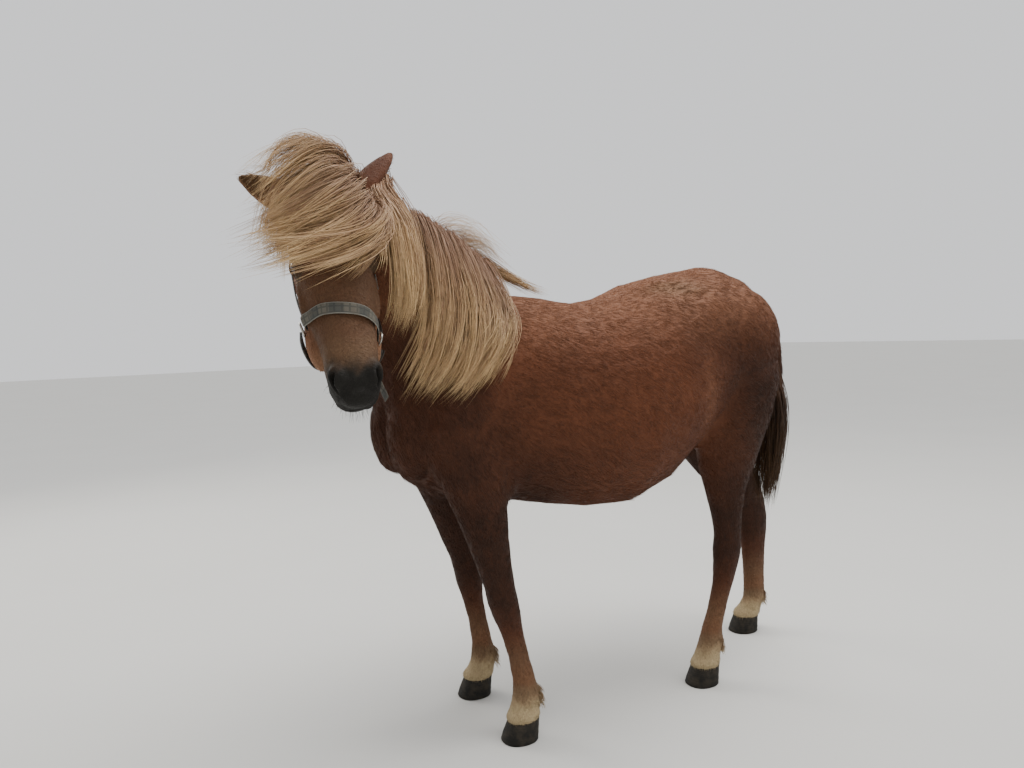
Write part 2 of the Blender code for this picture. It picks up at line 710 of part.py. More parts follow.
class Strap:
    """A flat strap of the halter, laid along points and kept clear of the surfaces under it."""

    def __init__(self, name, points, width, thickness, clear, closed=False):
        self.name = name
        self.points = points
        self.width = width
        self.thickness = thickness
        self.clear = clear
        self.closed = closed

    def frames(self, inward):
        """Directions along, across and out at each point. inward gives the axis the strap goes round."""
        made = []
        count = len(self.points)
        for i, point in enumerate(self.points):
            if self.closed:
                ahead, behind = self.points[(i + 1) % count], self.points[i - 1]
            else:
                ahead, behind = self.points[min(i + 1, count - 1)], self.points[max(i - 1, 0)]
            along = (ahead - behind).normalized()
            out = (point - inward(point)).normalized()
            out = (out - along * out.dot(along)).normalized()
            made.append((point, along, along.cross(out).normalized(), out))
        return made

    def build(self, inward, surface, where, lift=None):
        """The strap as one closed body, its inner face clear of the highest point of the surface beneath."""
        frames = self.frames(inward)
        heights = []
        for i, (point, along, across, out) in enumerate(frames):
            spacing = (self.points[i] - self.points[i - 1]).length if i else 0.012
            best = -0.02 if surface else 0.0
            for forward in (-0.5, 0.0, 0.5) if surface else ():
                for share in (-0.5, -0.25, 0.0, 0.25, 0.5):
                    start = point + along * (spacing * forward) + across * (self.width * share) + out * 0.035
                    found = surface.ray_cast(start, -out, 0.10)
                    if found[0] is not None:
                        best = max(best, 0.035 - found[3])
            heights.append(best)
        count = len(frames)
        bm = bmesh.new()
        rings = []
        for i, (point, along, across, out) in enumerate(frames):
            base = heights[i] + self.clear
            if lift:
                base += lift[i]
            half = across * (self.width / 2)
            low = point + out * base
            high = low + out * self.thickness
            rings.append([bm.verts.new(p) for p in (low - half, low + half, high + half, high - half)])
        spans = list(zip(rings, rings[1:]))
        if self.closed:
            spans.append((rings[-1], rings[0]))
        for first, second in spans:
            for i in range(4):
                j = (i + 1) % 4
                bm.faces.new((first[i], first[j], second[j], second[i]))
        if not self.closed:
            bm.faces.new(rings[0])
            bm.faces.new(rings[-1])
        bmesh.ops.recalc_face_normals(bm, faces=bm.faces)
        mesh = bpy.data.meshes.new(self.name)
        bm.to_mesh(mesh)
        bm.free()
        return mesh_object(self.name, mesh, where)


def smooth_path(points, count, closed=False):
    """Evenly spaced points along a smooth curve through the given ones."""
    given = [Vector(p) for p in points]
    total = len(given)
    fine = []
    spans = total if closed else total - 1
    for i in range(spans):
        if closed:
            a, b, c, d = given[i - 1], given[i], given[(i + 1) % total], given[(i + 2) % total]
        else:
            a = given[i - 1] if i else given[0] * 2 - given[1]
            b, c = given[i], given[i + 1]
            d = given[i + 2] if i + 2 < total else given[i + 1] * 2 - given[i]
        for k in range(16):
            t = k / 16
            fine.append(0.5 * ((2 * b) + (c - a) * t + (2 * a - 5 * b + 4 * c - d) * t * t
                               + (3 * b - a - 3 * c + d) * t ** 3))
    fine.append(given[0].copy() if closed else given[-1].copy())
    lengths = [0.0]
    for first, second in zip(fine, fine[1:]):
        lengths.append(lengths[-1] + (second - first).length)
    steps = count if closed else count - 1
    made, k = [], 0
    for i in range(count):
        goal = lengths[-1] * i / steps
        while k < len(lengths) - 2 and lengths[k + 1] < goal:
            k += 1
        span = max(lengths[k + 1] - lengths[k], 1e-9)
        made.append(fine[k].lerp(fine[k + 1], (goal - lengths[k]) / span))
    return made


def outer_shell(item):
    """Drops everything but the largest closed surface, walking from face to face over shared edges."""
    bm = bmesh.new()
    bm.from_mesh(item.data)
    waiting = set(bm.faces)
    shells = []
    while waiting:
        shell = [waiting.pop()]
        for face in shell:
            for edge in face.edges:
                for near in edge.link_faces:
                    if near in waiting:
                        waiting.remove(near)
                        shell.append(near)
        shells.append(shell)
    shells.sort(key=len, reverse=True)
    bmesh.ops.delete(bm, geom=[face for shell in shells[1:] for face in shell], context="FACES")
    bm.to_mesh(item.data)
    bm.free()
    return item


def fused(item, others):
    """The object joined with the objects of a collection, keeping the one outer body."""
    return outer_shell(boolean(item, others, "UNION", "MANIFOLD"))


def triangulated(item):
    """Splits an object's faces into triangles."""
    bm = bmesh.new()
    bm.from_mesh(item.data)
    bmesh.ops.triangulate(bm, faces=bm.faces[:])
    bm.to_mesh(item.data)
    bm.free()
    return item


def grown(item, by, where):
    """A copy of an object with its faces moved outward."""
    mesh = item.data.copy()
    bm = bmesh.new()
    bm.from_mesh(mesh)
    bm.normal_update()
    moves = [(v, v.normal.copy() * by * v.calc_shell_factor()) for v in bm.verts]
    for vert, move in moves:
        vert.co += move
    bm.to_mesh(mesh)
    bm.free()
    return mesh_object("grown", mesh, where)


def head_line(point):
    """The nearest point on the line down the middle of the head."""
    down = (point - POLL).dot(DOWN)
    return on_head(0, -0.095 + 0.06 * max(0.0, down - 0.18), down)


def strap_end(name, points, width, thickness, where):
    """A free strap through given points, with its flat toward the face's front."""
    strap = Strap(name, points, width, thickness, 0.0)
    return strap.build(lambda p: p - FRONT, None, where)


def ring_fitting(name, centre, normal, radius, wire, where):
    """A round metal ring of the halter."""
    bm = bmesh.new()
    turn = Vector((0, 0, 1)).rotation_difference(normal).to_matrix()
    around, tube = 12, 4
    rings = []
    for i in range(around):
        a = 2 * math.pi * i / around
        spoke = turn @ Vector((math.cos(a), math.sin(a), 0))
        lift = turn @ Vector((0, 0, 1))
        ring_points = []
        for k in range(tube):
            b = 2 * math.pi * k / tube
            ring_points.append(bm.verts.new(
                centre + spoke * (radius + wire * math.cos(b)) + lift * (wire * math.sin(b))))
        rings.append(ring_points)
    for i in range(around):
        first, second = rings[i], rings[(i + 1) % around]
        for k in range(tube):
            n = (k + 1) % tube
            bm.faces.new((first[k], second[k], second[n], first[n]))
    bmesh.ops.recalc_face_normals(bm, faces=bm.faces)
    mesh = bpy.data.meshes.new(name)
    bm.to_mesh(mesh)
    bm.free()
    return mesh_object(name, mesh, where)


def buckle(name, centre, along, out, size, wire, where):
    """A rectangular frame of square wire, flat on a strap."""
    across = along.cross(out).normalized()
    long, wide = size
    bm = bmesh.new()
    rings = []
    for a, b in ((1, 1), (-1, 1), (-1, -1), (1, -1)):
        corner = []
        for inset, lift in ((0, -1), (0, 1), (1, 1), (1, -1)):
            reach = long / 2 - wire * inset, wide / 2 - wire * inset
            corner.append(bm.verts.new(
                centre + along * (a * reach[0]) + across * (b * reach[1]) + out * (lift * wire / 2)))
        rings.append(corner)
    for i in range(4):
        first, second = rings[i], rings[(i + 1) % 4]
        for k in range(4):
            n = (k + 1) % 4
            bm.faces.new((first[k], second[k], second[n], first[n]))
    bmesh.ops.recalc_face_normals(bm, faces=bm.faces)
    mesh = bpy.data.meshes.new(name)
    bm.to_mesh(mesh)
    bm.free()
    return mesh_object(name, mesh, where)


def halter(surface, where):
    """The straps on the head: noseband, headpiece, chin strap and rings. Each is a body of its own."""
    made = []
    over_nose = [on_head(s, f, d) for s, f, d in (
        (0.086, -0.066, 0.288), (0.078, -0.030, 0.276), (0.050, 0.006, 0.262), (0.000, 0.012, 0.252),
        (-0.050, 0.006, 0.246), (-0.078, -0.030, 0.246), (-0.086, -0.066, 0.246))]
    noseband = Strap("halter_noseband", smooth_path(over_nose, 22), 0.024, 0.0032, 0.0022)
    made.append((noseband.build(head_line, surface, where), "webbing"))
    for side, word in ((1, "left"), (-1, "right")):
        low = 0.290 if side > 0 else 0.248
        up_cheek = [on_head(side * s, f, d) for s, f, d in (
            (0.080, -0.094, low - 0.022), (0.086, -0.098, 0.190), (0.090, -0.098, 0.130),
            (0.090, -0.094, 0.075), (0.080, -0.088, 0.030), (0.072, -0.084, 0.008))]
        cheek = Strap(f"halter_cheek_{word}", smooth_path(up_cheek, 15), 0.018, 0.0030, 0.0012)
        made.append((cheek.build(head_line, surface, where), "leather"))
        centre = on_head(side * 0.088, -0.093, low)
        found = surface.find_nearest(centre)
        made.append((ring_fitting(
            f"halter_ring_{word}", found[0] + found[1] * 0.0125, found[1], 0.0130, 0.0022, where), "steel"))
    over_poll = [on_head(s, f, d) for s, f, d in (
        (0.069, -0.083, -0.001), (0.050, -0.080, -0.030), (0.000, -0.070, -0.050),
        (-0.050, -0.080, -0.030), (-0.069, -0.083, -0.001))]
    crown = Strap("halter_crown", smooth_path(over_poll, 13), 0.018, 0.0030, 0.0012)
    made.append((crown.build(lambda p: on_head(0, -0.080, 0.03), surface, where), "leather"))
    under_jaw = [on_head(s, f, d) for s, f, d in (
        (0.078, -0.108, 0.300), (0.062, -0.120, 0.322), (0.036, -0.132, 0.338), (0.000, -0.138, 0.344),
        (-0.036, -0.134, 0.338), (-0.062, -0.126, 0.318), (-0.076, -0.118, 0.290), (-0.082, -0.110, 0.262))]
    chin = Strap("halter_chin_strap", smooth_path(under_jaw, 21), 0.018, 0.0030, 0.0040)
    made.append((chin.build(lambda p: on_head(0, -0.070, 0.30), surface, where), "leather"))
    tab = [on_head(s, f, d) for s, f, d in (
        (0.090, -0.118, 0.303), (0.078, -0.122, 0.330), (0.066, -0.122, 0.362), (0.068, -0.116, 0.395))]
    made.append((Strap("halter_strap_end", smooth_path(tab, 6), 0.018, 0.0028, 0.0).build(
        lambda p: on_head(0, -0.10, 0.36), None, where), "webbing"))
    found = surface.find_nearest(on_head(0.092, -0.098, 0.160))
    made.append((buckle(
        "halter_buckle", found[0] + found[1] * 0.0090, DOWN, found[1], (0.034, 0.026), 0.0030, where), "steel"))
    return made


def stand_on_origin(items):
    """Moves the whole pony so that the middle of its box stands over the origin."""
    points = np.array([v.co for item in items for v in item.data.vertices])
    low, high = points.min(axis=0), points.max(axis=0)
    middle = (low + high) / 2
    for item in items:
        item.data.transform(Matrix.Translation((-middle[0], -middle[1], 0.0)))


def between(guides, share):
    """A path between neighbouring guide paths. share runs from 0 at the first guide to 1 at the last."""
    place = share * (len(guides) - 1)
    low = min(int(place), len(guides) - 2)
    part = place - low
    return [Vector(a).lerp(Vector(b), part) for a, b in zip(guides[low], guides[low + 1])]


class Barber:
    """Grows flat tapered locks and keeps them clear of what they don't grow from."""

    def __init__(self, where, keep_out, seed):
        self.where = where
        self.keep_out = keep_out
        self.chance = random.Random(seed)

    def jitter(self, reach):
        """A small random move."""
        return Vector([self.chance.uniform(-reach, reach) for _ in range(3)])

    def pushed(self, point, clear):
        """The point moved out of the surfaces it has to stay clear of."""
        for _ in range(3):
            near, normal, _, reach = self.keep_out.find_nearest(point)
            outside = (point - near).dot(normal) > 0
            if reach >= clear and (outside or reach > 0.030):
                break
            way = (point - near).normalized() if outside and reach > 0.0005 else normal
            point = near + way * (clear + self.chance.uniform(0.0003, 0.0018))
        return point

    def lock(self, points, away, width=LOCK_WIDTH, thickness=LOCK_THICKNESS, stations=6, roots=2):
        """One lock along a path: a flat inner side and a low ridge toward away(point).

        The first stations, its root, stay where they are.
        """
        path = smooth_path(points, stations)
        lean = self.jitter(0.16)
        bm = bmesh.new()
        rings = []
        for i, point in enumerate(path):
            share = i / (stations - 1)
            along = (path[min(i + 1, stations - 1)] - path[max(i - 1, 0)]).normalized()
            out = away(point) + lean
            out = (out - along * out.dot(along)).normalized()
            across = along.cross(out).normalized()
            size = 0.62 + 1.1 * share if share < 0.35 else 1.0 - 0.80 * ((share - 0.35) / 0.65) ** 1.4
            half = across * (width * size / 2)
            deep = out * (thickness * (0.45 + 0.55 * size) / 2)
            corners = [point - half - deep, point + half - deep, point + deep * 1.4]
            if i >= roots:
                worst = Vector((0, 0, 0))
                for corner in corners + [point - deep]:
                    move = self.pushed(corner, LOCK_CLEARANCE) - corner
                    if move.length > worst.length:
                        worst = move
                corners = [corner + worst for corner in corners]
                corners = [self.pushed(corner, LOCK_CLEARANCE) for corner in corners]
            rings.append([bm.verts.new(corner) for corner in corners])
        for first, second in zip(rings, rings[1:]):
            for k in range(3):
                n = (k + 1) % 3
                bm.faces.new((first[k], first[n], second[n], second[k]))
        bm.faces.new(rings[0])
        bm.faces.new(rings[-1])
        bmesh.ops.triangulate(bm, faces=bm.faces[:])
        bmesh.ops.recalc_face_normals(bm, faces=bm.faces)
        mesh = bpy.data.meshes.new("lock")
        bm.to_mesh(mesh)
        bm.free()
        return mesh_object("lock", mesh, self.where)


# The mane's lie on the left of the neck: paths in the side view, (y, z), from the crest to the tips
MANE_GUIDES = (
    ((-0.318, 1.010), (-0.325, 1.058), (-0.333, 0.985), (-0.345, 0.920), (-0.375, 0.860)),
    ((-0.365, 1.045), (-0.360, 1.098), (-0.362, 1.010), (-0.378, 0.920), (-0.415, 0.822)),
    ((-0.425, 1.095), (-0.418, 1.140), (-0.420, 1.040), (-0.435, 0.920), (-0.478, 0.782)),
    ((-0.480, 1.130), (-0.472, 1.172), (-0.474, 1.070), (-0.492, 0.940), (-0.535, 0.790)),
    ((-0.535, 1.155), (-0.522, 1.196), (-0.515, 1.100), (-0.528, 0.990), (-0.558, 0.880)),
)

# The same for the shorter hair that falls to the right
RIGHT_GUIDES = (
    ((-0.330, 1.015), (-0.335, 1.060), (-0.350, 1.010), (-0.370, 0.960)),
    ((-0.440, 1.100), (-0.440, 1.142), (-0.450, 1.070), (-0.475, 0.980)),
    ((-0.530, 1.150), (-0.530, 1.192), (-0.540, 1.120), (-0.560, 1.030)),
)

# The forelock, blown across the face to the pony's right: side, front and down from the poll
FORELOCK_GUIDES = (
    ((0.012, -0.040, 0.020), (0.010, -0.022, -0.050), (-0.030, 0.004, -0.112), (-0.078, 0.016, -0.122),
     (-0.118, 0.020, -0.092), (-0.148, 0.020, -0.045)),
    ((0.020, -0.040, 0.020), (0.028, -0.006, -0.048), (-0.020, 0.035, -0.080), (-0.072, 0.046, -0.062),
     (-0.112, 0.040, -0.015), (-0.138, 0.032, 0.040)),
    ((0.025, -0.040, 0.025), (0.044, 0.012, -0.018), (0.012, 0.055, 0.002), (-0.045, 0.064, 0.032),
     (-0.094, 0.046, 0.075), (-0.124, 0.026, 0.120)),
    ((0.030, -0.040, 0.030), (0.058, 0.022, 0.018), (0.045, 0.055, 0.070), (-0.005, 0.060, 0.112),
     (-0.054, 0.048, 0.146), (-0.098, 0.026, 0.178)),
    ((0.030, -0.045, 0.030), (0.070, 0.012, 0.030), (0.077, 0.042, 0.085), (0.055, 0.052, 0.135),
     (0.008, 0.048, 0.170), (-0.045, 0.034, 0.202)),
    ((0.030, -0.050, 0.030), (0.074, -0.006, 0.030), (0.094, 0.016, 0.078), (0.098, 0.020, 0.120),
     (0.094, 0.012, 0.150), (0.088, 0.006, 0.178)),
)
RIGHT_FORELOCK_GUIDES = (
    ((-0.014, -0.040, 0.035), (-0.034, 0.026, 0.004), (-0.076, 0.036, 0.040), (-0.096, 0.032, 0.095),
     (-0.108, 0.014, 0.140), (-0.114, 0.000, 0.170)),
    ((-0.014, -0.036, 0.030), (-0.030, 0.016, -0.026), (-0.088, 0.024, -0.010), (-0.116, 0.014, 0.050),
     (-0.130, 0.006, 0.095), (-0.136, -0.006, 0.130)),
)

# The tuft that stands on the crest, and the hair that lies back over the withers: x, y, z
CREST_GUIDES = (
    ((0.000, -0.375, 1.055), (0.006, -0.385, 1.115), (0.000, -0.345, 1.128), (-0.004, -0.312, 1.105)),
    ((0.000, -0.345, 1.030), (0.005, -0.350, 1.082), (0.000, -0.312, 1.092), (-0.006, -0.270, 1.065)),
    ((0.000, -0.322, 1.012), (0.004, -0.318, 1.056), (-0.002, -0.262, 1.048), (-0.008, -0.195, 1.008)),
)

# Hair from behind the left ear, falling between the cheek and the neck: x, y, z
EAR_SIDE_GUIDES = (
    ((0.020, -0.548, 1.120), (0.050, -0.562, 1.205), (0.108, -0.552, 1.178), (0.136, -0.540, 1.085),
     (0.142, -0.546, 0.995), (0.144, -0.566, 0.930)),
    ((0.026, -0.560, 1.120), (0.058, -0.580, 1.208), (0.132, -0.580, 1.185), (0.164, -0.582, 1.095),
     (0.172, -0.586, 1.010), (0.170, -0.600, 0.950)),
)


def grow_mane(barber, flesh):
    """The locks of the mane: on the left, more thinly on the right, and beside the left cheek."""
    def drape(side, y, z, lift):
        found = flesh.ray_cast(Vector((side * 0.6, y, z)), Vector((-side, 0, 0)), 0.6)
        reach = abs(found[0].x) if found[0] is not None else 0.03
        return Vector((side * (reach + lift), y, z))

    def side_locks(side, guides, count, lift, width):
        for i in range(count):
            share = (i + 0.5) / count + barber.chance.uniform(-0.02, 0.02)
            share = min(max(share, 0.0), 1.0)
            flat = between([[(y, z, 0) for y, z in guide] for guide in guides], share)
            layer = barber.chance.uniform(0.6, 1.5)
            points = [Vector((0.0, flat[0].x, flat[0].y - 0.020)) + barber.jitter(0.003)]
            points.append(Vector((side * 0.024, flat[1].x, flat[1].y)) + barber.jitter(0.003))
            for k, place in enumerate(flat[2:]):
                y = place.x + barber.chance.uniform(-0.010, 0.010)
                z = place.y + barber.chance.uniform(-0.014, 0.014)
                points.append(drape(side, y, z, lift * layer))
            barber.lock(points, lambda p: Vector((side, 0, 0.35)).normalized(), width=width, stations=6)

    side_locks(1, MANE_GUIDES, 14, 0.020, 0.038)
    side_locks(-1, RIGHT_GUIDES, 6, 0.012, 0.046)
    for i in range(4):
        points = between(EAR_SIDE_GUIDES, (i + 0.5) / 4)
        points = [p + barber.jitter(0.004) for p in points]
        barber.lock(points, lambda p: Vector((0.8, 0.55, 0.1)), stations=7)
    for i in range(4):
        points = [Vector(p) + barber.jitter(0.004) for p in between(CREST_GUIDES, (i + 0.5) / 4)]
        barber.lock(points, lambda p: Vector((0.0, 0.6, 0.8)), width=0.022, stations=5)


def grow_forelock(barber):
    """The locks of the forelock."""
    middle = on_head(-0.01, -0.06, 0.08)
    for guides, count in ((FORELOCK_GUIDES, 15), (RIGHT_FORELOCK_GUIDES, 3)):
        for i in range(count):
            flat = between(guides, (i + 0.5) / count)
            points = [on_head(*p) for p in flat]
            points = points[:2] + [p + barber.jitter(0.010) for p in points[2:]]
            barber.lock(points, lambda p: p - middle, width=0.030, stations=6)


def grow_tail(barber):
    """Locks all round the dock, closing to a loose tip above the hocks."""
    # height, middle and spread of the tail's outline
    outline = ((0.935, 0.560, 0.010), (0.880, 0.570, 0.034), (0.780, 0.574, 0.046), (0.660, 0.566, 0.050),
               (0.540, 0.560, 0.044), (0.410, 0.540, 0.014))
    count = 11
    for i in range(count):
        turn = math.radians(-30 + 240 * (i + barber.chance.uniform(-0.2, 0.2)) / (count - 1))
        out = Vector((math.cos(turn) * 1.25, math.sin(turn) * (0.80 if math.sin(turn) > 0 else 0.45), 0))
        low = barber.chance.uniform(0.0, 0.12)
        layer = barber.chance.uniform(0.85, 1.10)
        points = [Vector((0, 0.566, 0.860 - low / 2))]
        for z, y, spread in outline[1:]:
            z = z - 0.02 if z > 0.8 else z + low * (0.88 - z) / 0.47
            points.append(Vector((0, y, z)) + out * (spread * layer))
        barber.lock(points, lambda p: out, width=0.027, thickness=0.008, stations=6, roots=1)


def grow_fetlock(barber, side, middle_y, out):
    """The tuft behind a fetlock."""
    for i in range(3):
        x = side * out + (i - 1) * 0.016
        lean = (i - 1) * 0.004
        points = [Vector((x, middle_y + 0.016, 0.112)), Vector((x, middle_y + 0.036, 0.100)),
                  Vector((x + lean, middle_y + 0.043, 0.080)), Vector((x + lean, middle_y + 0.045, 0.062))]
        barber.lock(points, lambda p: Vector((0, 1, 0)), width=0.021, thickness=0.008, stations=4, roots=1)


def main():
    """Builds the pony node by node."""
    clear_scene()
    shapes = collection("forms")
    plates = collection("plates")
    pony = collection("shetland_pony")
    coat = material("chestnut_coat", (0.235, 0.085, 0.040), 0.62)
    blond = material("flaxen_hair", (0.560, 0.370, 0.190), 0.55)
    dark = material("dark_tail_hair", (0.085, 0.040, 0.022), 0.55)
    horn = material("hoof_horn", (0.075, 0.065, 0.055), 0.50)
    gloss = material("eye_gloss", (0.020, 0.010, 0.006), 0.08)
    finishes = {
        "webbing": material("grey_webbing", (0.215, 0.220, 0.190), 0.80),
        "leather": material("dark_strap", (0.030, 0.026, 0.024), 0.65),
        "steel": material("steel_fittings", (0.560, 0.550, 0.520), 0.35, 1.0),
    }

    # flesh of the body and the finer flesh of the head, each as one skin
    trunk(shapes)
    neck_trunk(shapes)
    skull(shapes)
    fore_limb("fore_left", 1, LEFT_FORE, shapes)
    fore_limb("fore_right", -1, RIGHT_FORE, shapes)
    fore_limb("hind_left", 1, LEFT_HIND, shapes)
    fore_limb("hind_right", -1, RIGHT_HIND, shapes)
    muscles(shapes)
    dock(shapes)
    body = thinned(merged("body", list(shapes.objects), BODY_VOXEL, 8, shapes), BODY_FACES)
    skull(shapes)
    head_masses(shapes)
    neck_trunk(shapes)
    head = merged("head", [o for o in shapes.objects if o != body], HEAD_VOXEL, 4, shapes)

    # the head ends behind the cheek and the poll, and the neck starts a gap behind it
    seam = Vector(HEAD_CUT)
    ahead = Vector(HEAD_CUT_NORMAL).normalized()
    head = thinned(kept(head, seam, ahead), HEAD_FACES)
    head = kept(head, seam + ahead * CUT, ahead)
    body = kept(body, seam, -ahead)

    # saw cuts through the body
    plate("neck_cut", NECK_CUT, NECK_CUT_NORMAL, 0.90, plates)
    for name, x, y, z, reach in LEG_CUTS:
        plate(name, (x, y, z), (0, 0, 1), reach, plates)
    plate("dock_cut", (0, DOCK_CUT, 0.885), (0, 1, 0), 0.23, plates)
    parts = loose_parts(boolean(body, plates, "DIFFERENCE"), shapes)
    places = {
        "torso": (0, 0, 0.75),
        "neck": (0, -0.51, 0.97),
        "foreleg_left": (0.13, -0.37, 0.28),
        "foreleg_right": (-0.13, -0.35, 0.28),
        "hindleg_left": (0.11, 0.25, 0.31),
        "hindleg_right": (-0.11, 0.52, 0.32),
        "tail": (0, 0.55, 0.82),
    }
    nodes = {}
    for name, place in places.items():
        nodes[name] = min(parts, key=lambda part: (middle_of(part) - Vector(place)).length)

    # hooves under the pasterns
    for name, side, middle_y, out in (
        ("foreleg_left", 1, -0.3465, 0.132),
        ("foreleg_right", -1, -0.3400, 0.132),
        ("hindleg_left", 1, 0.1850, 0.112),
        ("hindleg_right", -1, 0.5250, 0.112),
    ):
        nodes[name] = kept(nodes[name], Vector((0, 0, 0.0535)), Vector((0, 0, 1)))
        label = "hoof_" + name.replace("leg", "")
        nodes[label] = hoof(label, side, middle_y, out, shapes)

    # the halter lies on the bare head, and the hair passes over it
    ears = [ear(1, shapes), ear(-1, shapes)]
    for item, finish in halter(surface_of([head]), shapes):
        nodes[item.name] = item
        finishes[item.name] = finishes[finish]
    straps = [item for name, item in nodes.items() if name.startswith("halter")]

    # ears in pockets, eyes in sockets behind the lids, nostrils and the line of the mouth
    for side, word in ((1, "left"), (-1, "right")):
        made = triangulated(ears[0] if side > 0 else ears[1])
        grown(made, GAP, plates)
        ear_cup(side, shapes)
        hollow = collection("ear_hollow")
        cup = shapes.objects["ear_cup"]
        shapes.objects.unlink(cup)
        hollow.objects.link(cup)
        nodes[f"ear_{word}"] = boolean(made, hollow, "DIFFERENCE")
        nodes[f"eye_{word}"] = eyeball(f"eye_{word}", side, EYE_RADIUS, shapes)
        eyeball("socket", side, EYE_RADIUS + GAP, plates)
        eye_opening(side, plates)
        nostril_opening(side, plates)
    mouth_line(plates)
    head = boolean(head, plates, "DIFFERENCE", "MANIFOLD")
    pieces = loose_parts(head, shapes)
    head = pieces[0]
    for piece in pieces[1:]:
        bpy.data.objects.remove(piece)
    barber_keeps = [nodes["ear_left"], nodes["ear_right"], nodes["eye_left"], nodes["eye_right"]]

    torso, neck, tail = nodes["torso"], nodes["neck"], nodes["tail"]

    # the mane, the forelock and the tail, each fused with what it grows from
    coat_core_neck(plates)
    coat_core_crest(plates)
    barber = Barber(plates, surface_of([torso, head] + barber_keeps + straps), MANE_SEED)
    grow_mane(barber, surface_of([torso, neck]))
    nodes["neck"] = fused(neck, plates)
    coat_core_head(plates)
    barber = Barber(plates, surface_of([nodes["neck"], torso] + barber_keeps + straps), FORELOCK_SEED)
    grow_forelock(barber)
    nodes["head"] = fused(head, plates)
    coat_core_tail(plates)
    barber = Barber(plates, surface_of([torso, nodes["hindleg_left"], nodes["hindleg_right"]]), TAIL_SEED)
    grow_tail(barber)
    nodes["tail"] = fused(tail, plates)
    for name, side, middle_y, out in FETLOCKS:
        barber = Barber(plates, surface_of([nodes["hoof_" + name.replace("leg", "")]]), FETLOCK_SEED)
        grow_fetlock(barber, side, middle_y, out)
        nodes[name] = fused(nodes[name], plates)

    for name, item in nodes.items():
        finish = finishes.get(name, coat)
        if name.startswith("hoof"):
            finish = horn
        if name.startswith("eye"):
            finish = gloss
        if name == "tail":
            finish = dark
        named(item, name, finish, pony)
    for item in list(shapes.objects) + list(plates.objects):
        bpy.data.objects.remove(item)
    stand_on_origin(nodes.values())
    return nodes


if __name__ == "__main__":
    main()
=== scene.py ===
"""Looks of a life-size Shetland pony that stands square with its head turned to the left.

Every piece is modelled in the pony's own design frame, where it faces -Y, its left side is +X and the floor
is z = 0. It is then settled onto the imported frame, whose origin is under the middle of the model's box.
"""

import logging
import math
from dataclasses import dataclass
from enum import Enum, IntEnum
from typing import Callable, Sequence

import bpy
import numpy as np
from bpy.types import Material, Node, NodeSocket, NodeTree, Object
from mathutils import Matrix, Vector
from mathutils.bvhtree import BVHTree


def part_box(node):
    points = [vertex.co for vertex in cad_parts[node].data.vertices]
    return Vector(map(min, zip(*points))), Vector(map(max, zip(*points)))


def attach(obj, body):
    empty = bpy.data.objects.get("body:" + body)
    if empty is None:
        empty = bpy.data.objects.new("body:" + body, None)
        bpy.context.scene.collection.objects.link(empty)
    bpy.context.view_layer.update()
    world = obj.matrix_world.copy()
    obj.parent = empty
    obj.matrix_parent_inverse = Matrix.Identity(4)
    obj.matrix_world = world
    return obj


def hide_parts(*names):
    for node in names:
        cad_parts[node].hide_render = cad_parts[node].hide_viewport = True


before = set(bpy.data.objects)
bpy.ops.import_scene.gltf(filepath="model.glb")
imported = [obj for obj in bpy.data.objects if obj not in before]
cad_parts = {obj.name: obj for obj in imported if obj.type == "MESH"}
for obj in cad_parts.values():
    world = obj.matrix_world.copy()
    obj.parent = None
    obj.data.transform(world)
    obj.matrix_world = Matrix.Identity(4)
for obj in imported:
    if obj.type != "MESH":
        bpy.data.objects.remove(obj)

LOG = logging.getLogger("shetland_pony")

# Driving sizes that the solids share
HEIGHT_AT_WITHERS = 1.0
HEIGHT_AT_CROUP = 1.055
POLL = Vector((0.145, -0.727, 1.19))
HEAD_TURN = math.radians(83.0)
FACE_LEAN = math.radians(24.0)
HEAD_TILT = math.radians(4.0)
HEAD_LENGTH = 0.425
HEAD_START = Vector((0.1, -0.595, 1.02))
HEAD_START_NORMAL = Vector((0.5, -0.85, 0.15)).normalized()
EYE_RADIUS = 0.0195
EYE_SIDE = 0.0625
EYE_FRONT = -0.034
EYE_DOWN = 0.142
EAR_LENGTH = 0.128
HOOF_CORNER = (0.0925, -0.3875)

# The settled place of the design frame, read from the left fore hoof
_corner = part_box("hoof_fore_left")[0]
SETTLE = Vector((_corner.x - HOOF_CORNER[0], _corner.y - HOOF_CORNER[1], 0.0))


def head_axes() -> list[Vector]:
    """Directions of the head.

    Returns:
        Its left side, out of the forehead, and down the face.
    """
    side = Vector((1.0, 0.0, 0.0))
    front = Vector((0.0, -math.cos(FACE_LEAN), math.sin(FACE_LEAN)))
    down = Vector((0.0, -math.sin(FACE_LEAN), -math.cos(FACE_LEAN)))
    tilt = Matrix.Rotation(-HEAD_TILT, 3, "Y")
    turn = Matrix.Rotation(HEAD_TURN, 3, "Z")
    return [turn @ tilt @ axis for axis in (side, front, down)]


SIDE, FRONT, DOWN = head_axes()
HEAD_AXES = Matrix((SIDE, FRONT, DOWN)).transposed()


def on_head(side: float, front: float, down: float) -> Vector:
    """A point given by the head's own measures, in the design frame."""
    return POLL + SIDE * side + FRONT * front + DOWN * down


def head_measures(points: np.ndarray) -> np.ndarray:
    """The head's own measures of points: side, front and down columns."""
    axes = np.array([SIDE, FRONT, DOWN])
    return (points - np.array(POLL)) @ axes.T


def past_neck(points: np.ndarray) -> np.ndarray:
    """How far points lie past the plane where the head starts."""
    return (points - np.array(HEAD_START)) @ np.array(HEAD_START_NORMAL)


def eye_centre(side: int) -> Vector:
    """The middle of an eyeball, on the left (1) or the right (-1)."""
    return on_head(side * EYE_SIDE, EYE_FRONT, EYE_DOWN)


def nostril_centre(side: int) -> Vector:
    """The middle of a nostril, on the left (1) or the right (-1)."""
    return on_head(side * 0.0455, -0.016, 0.386)


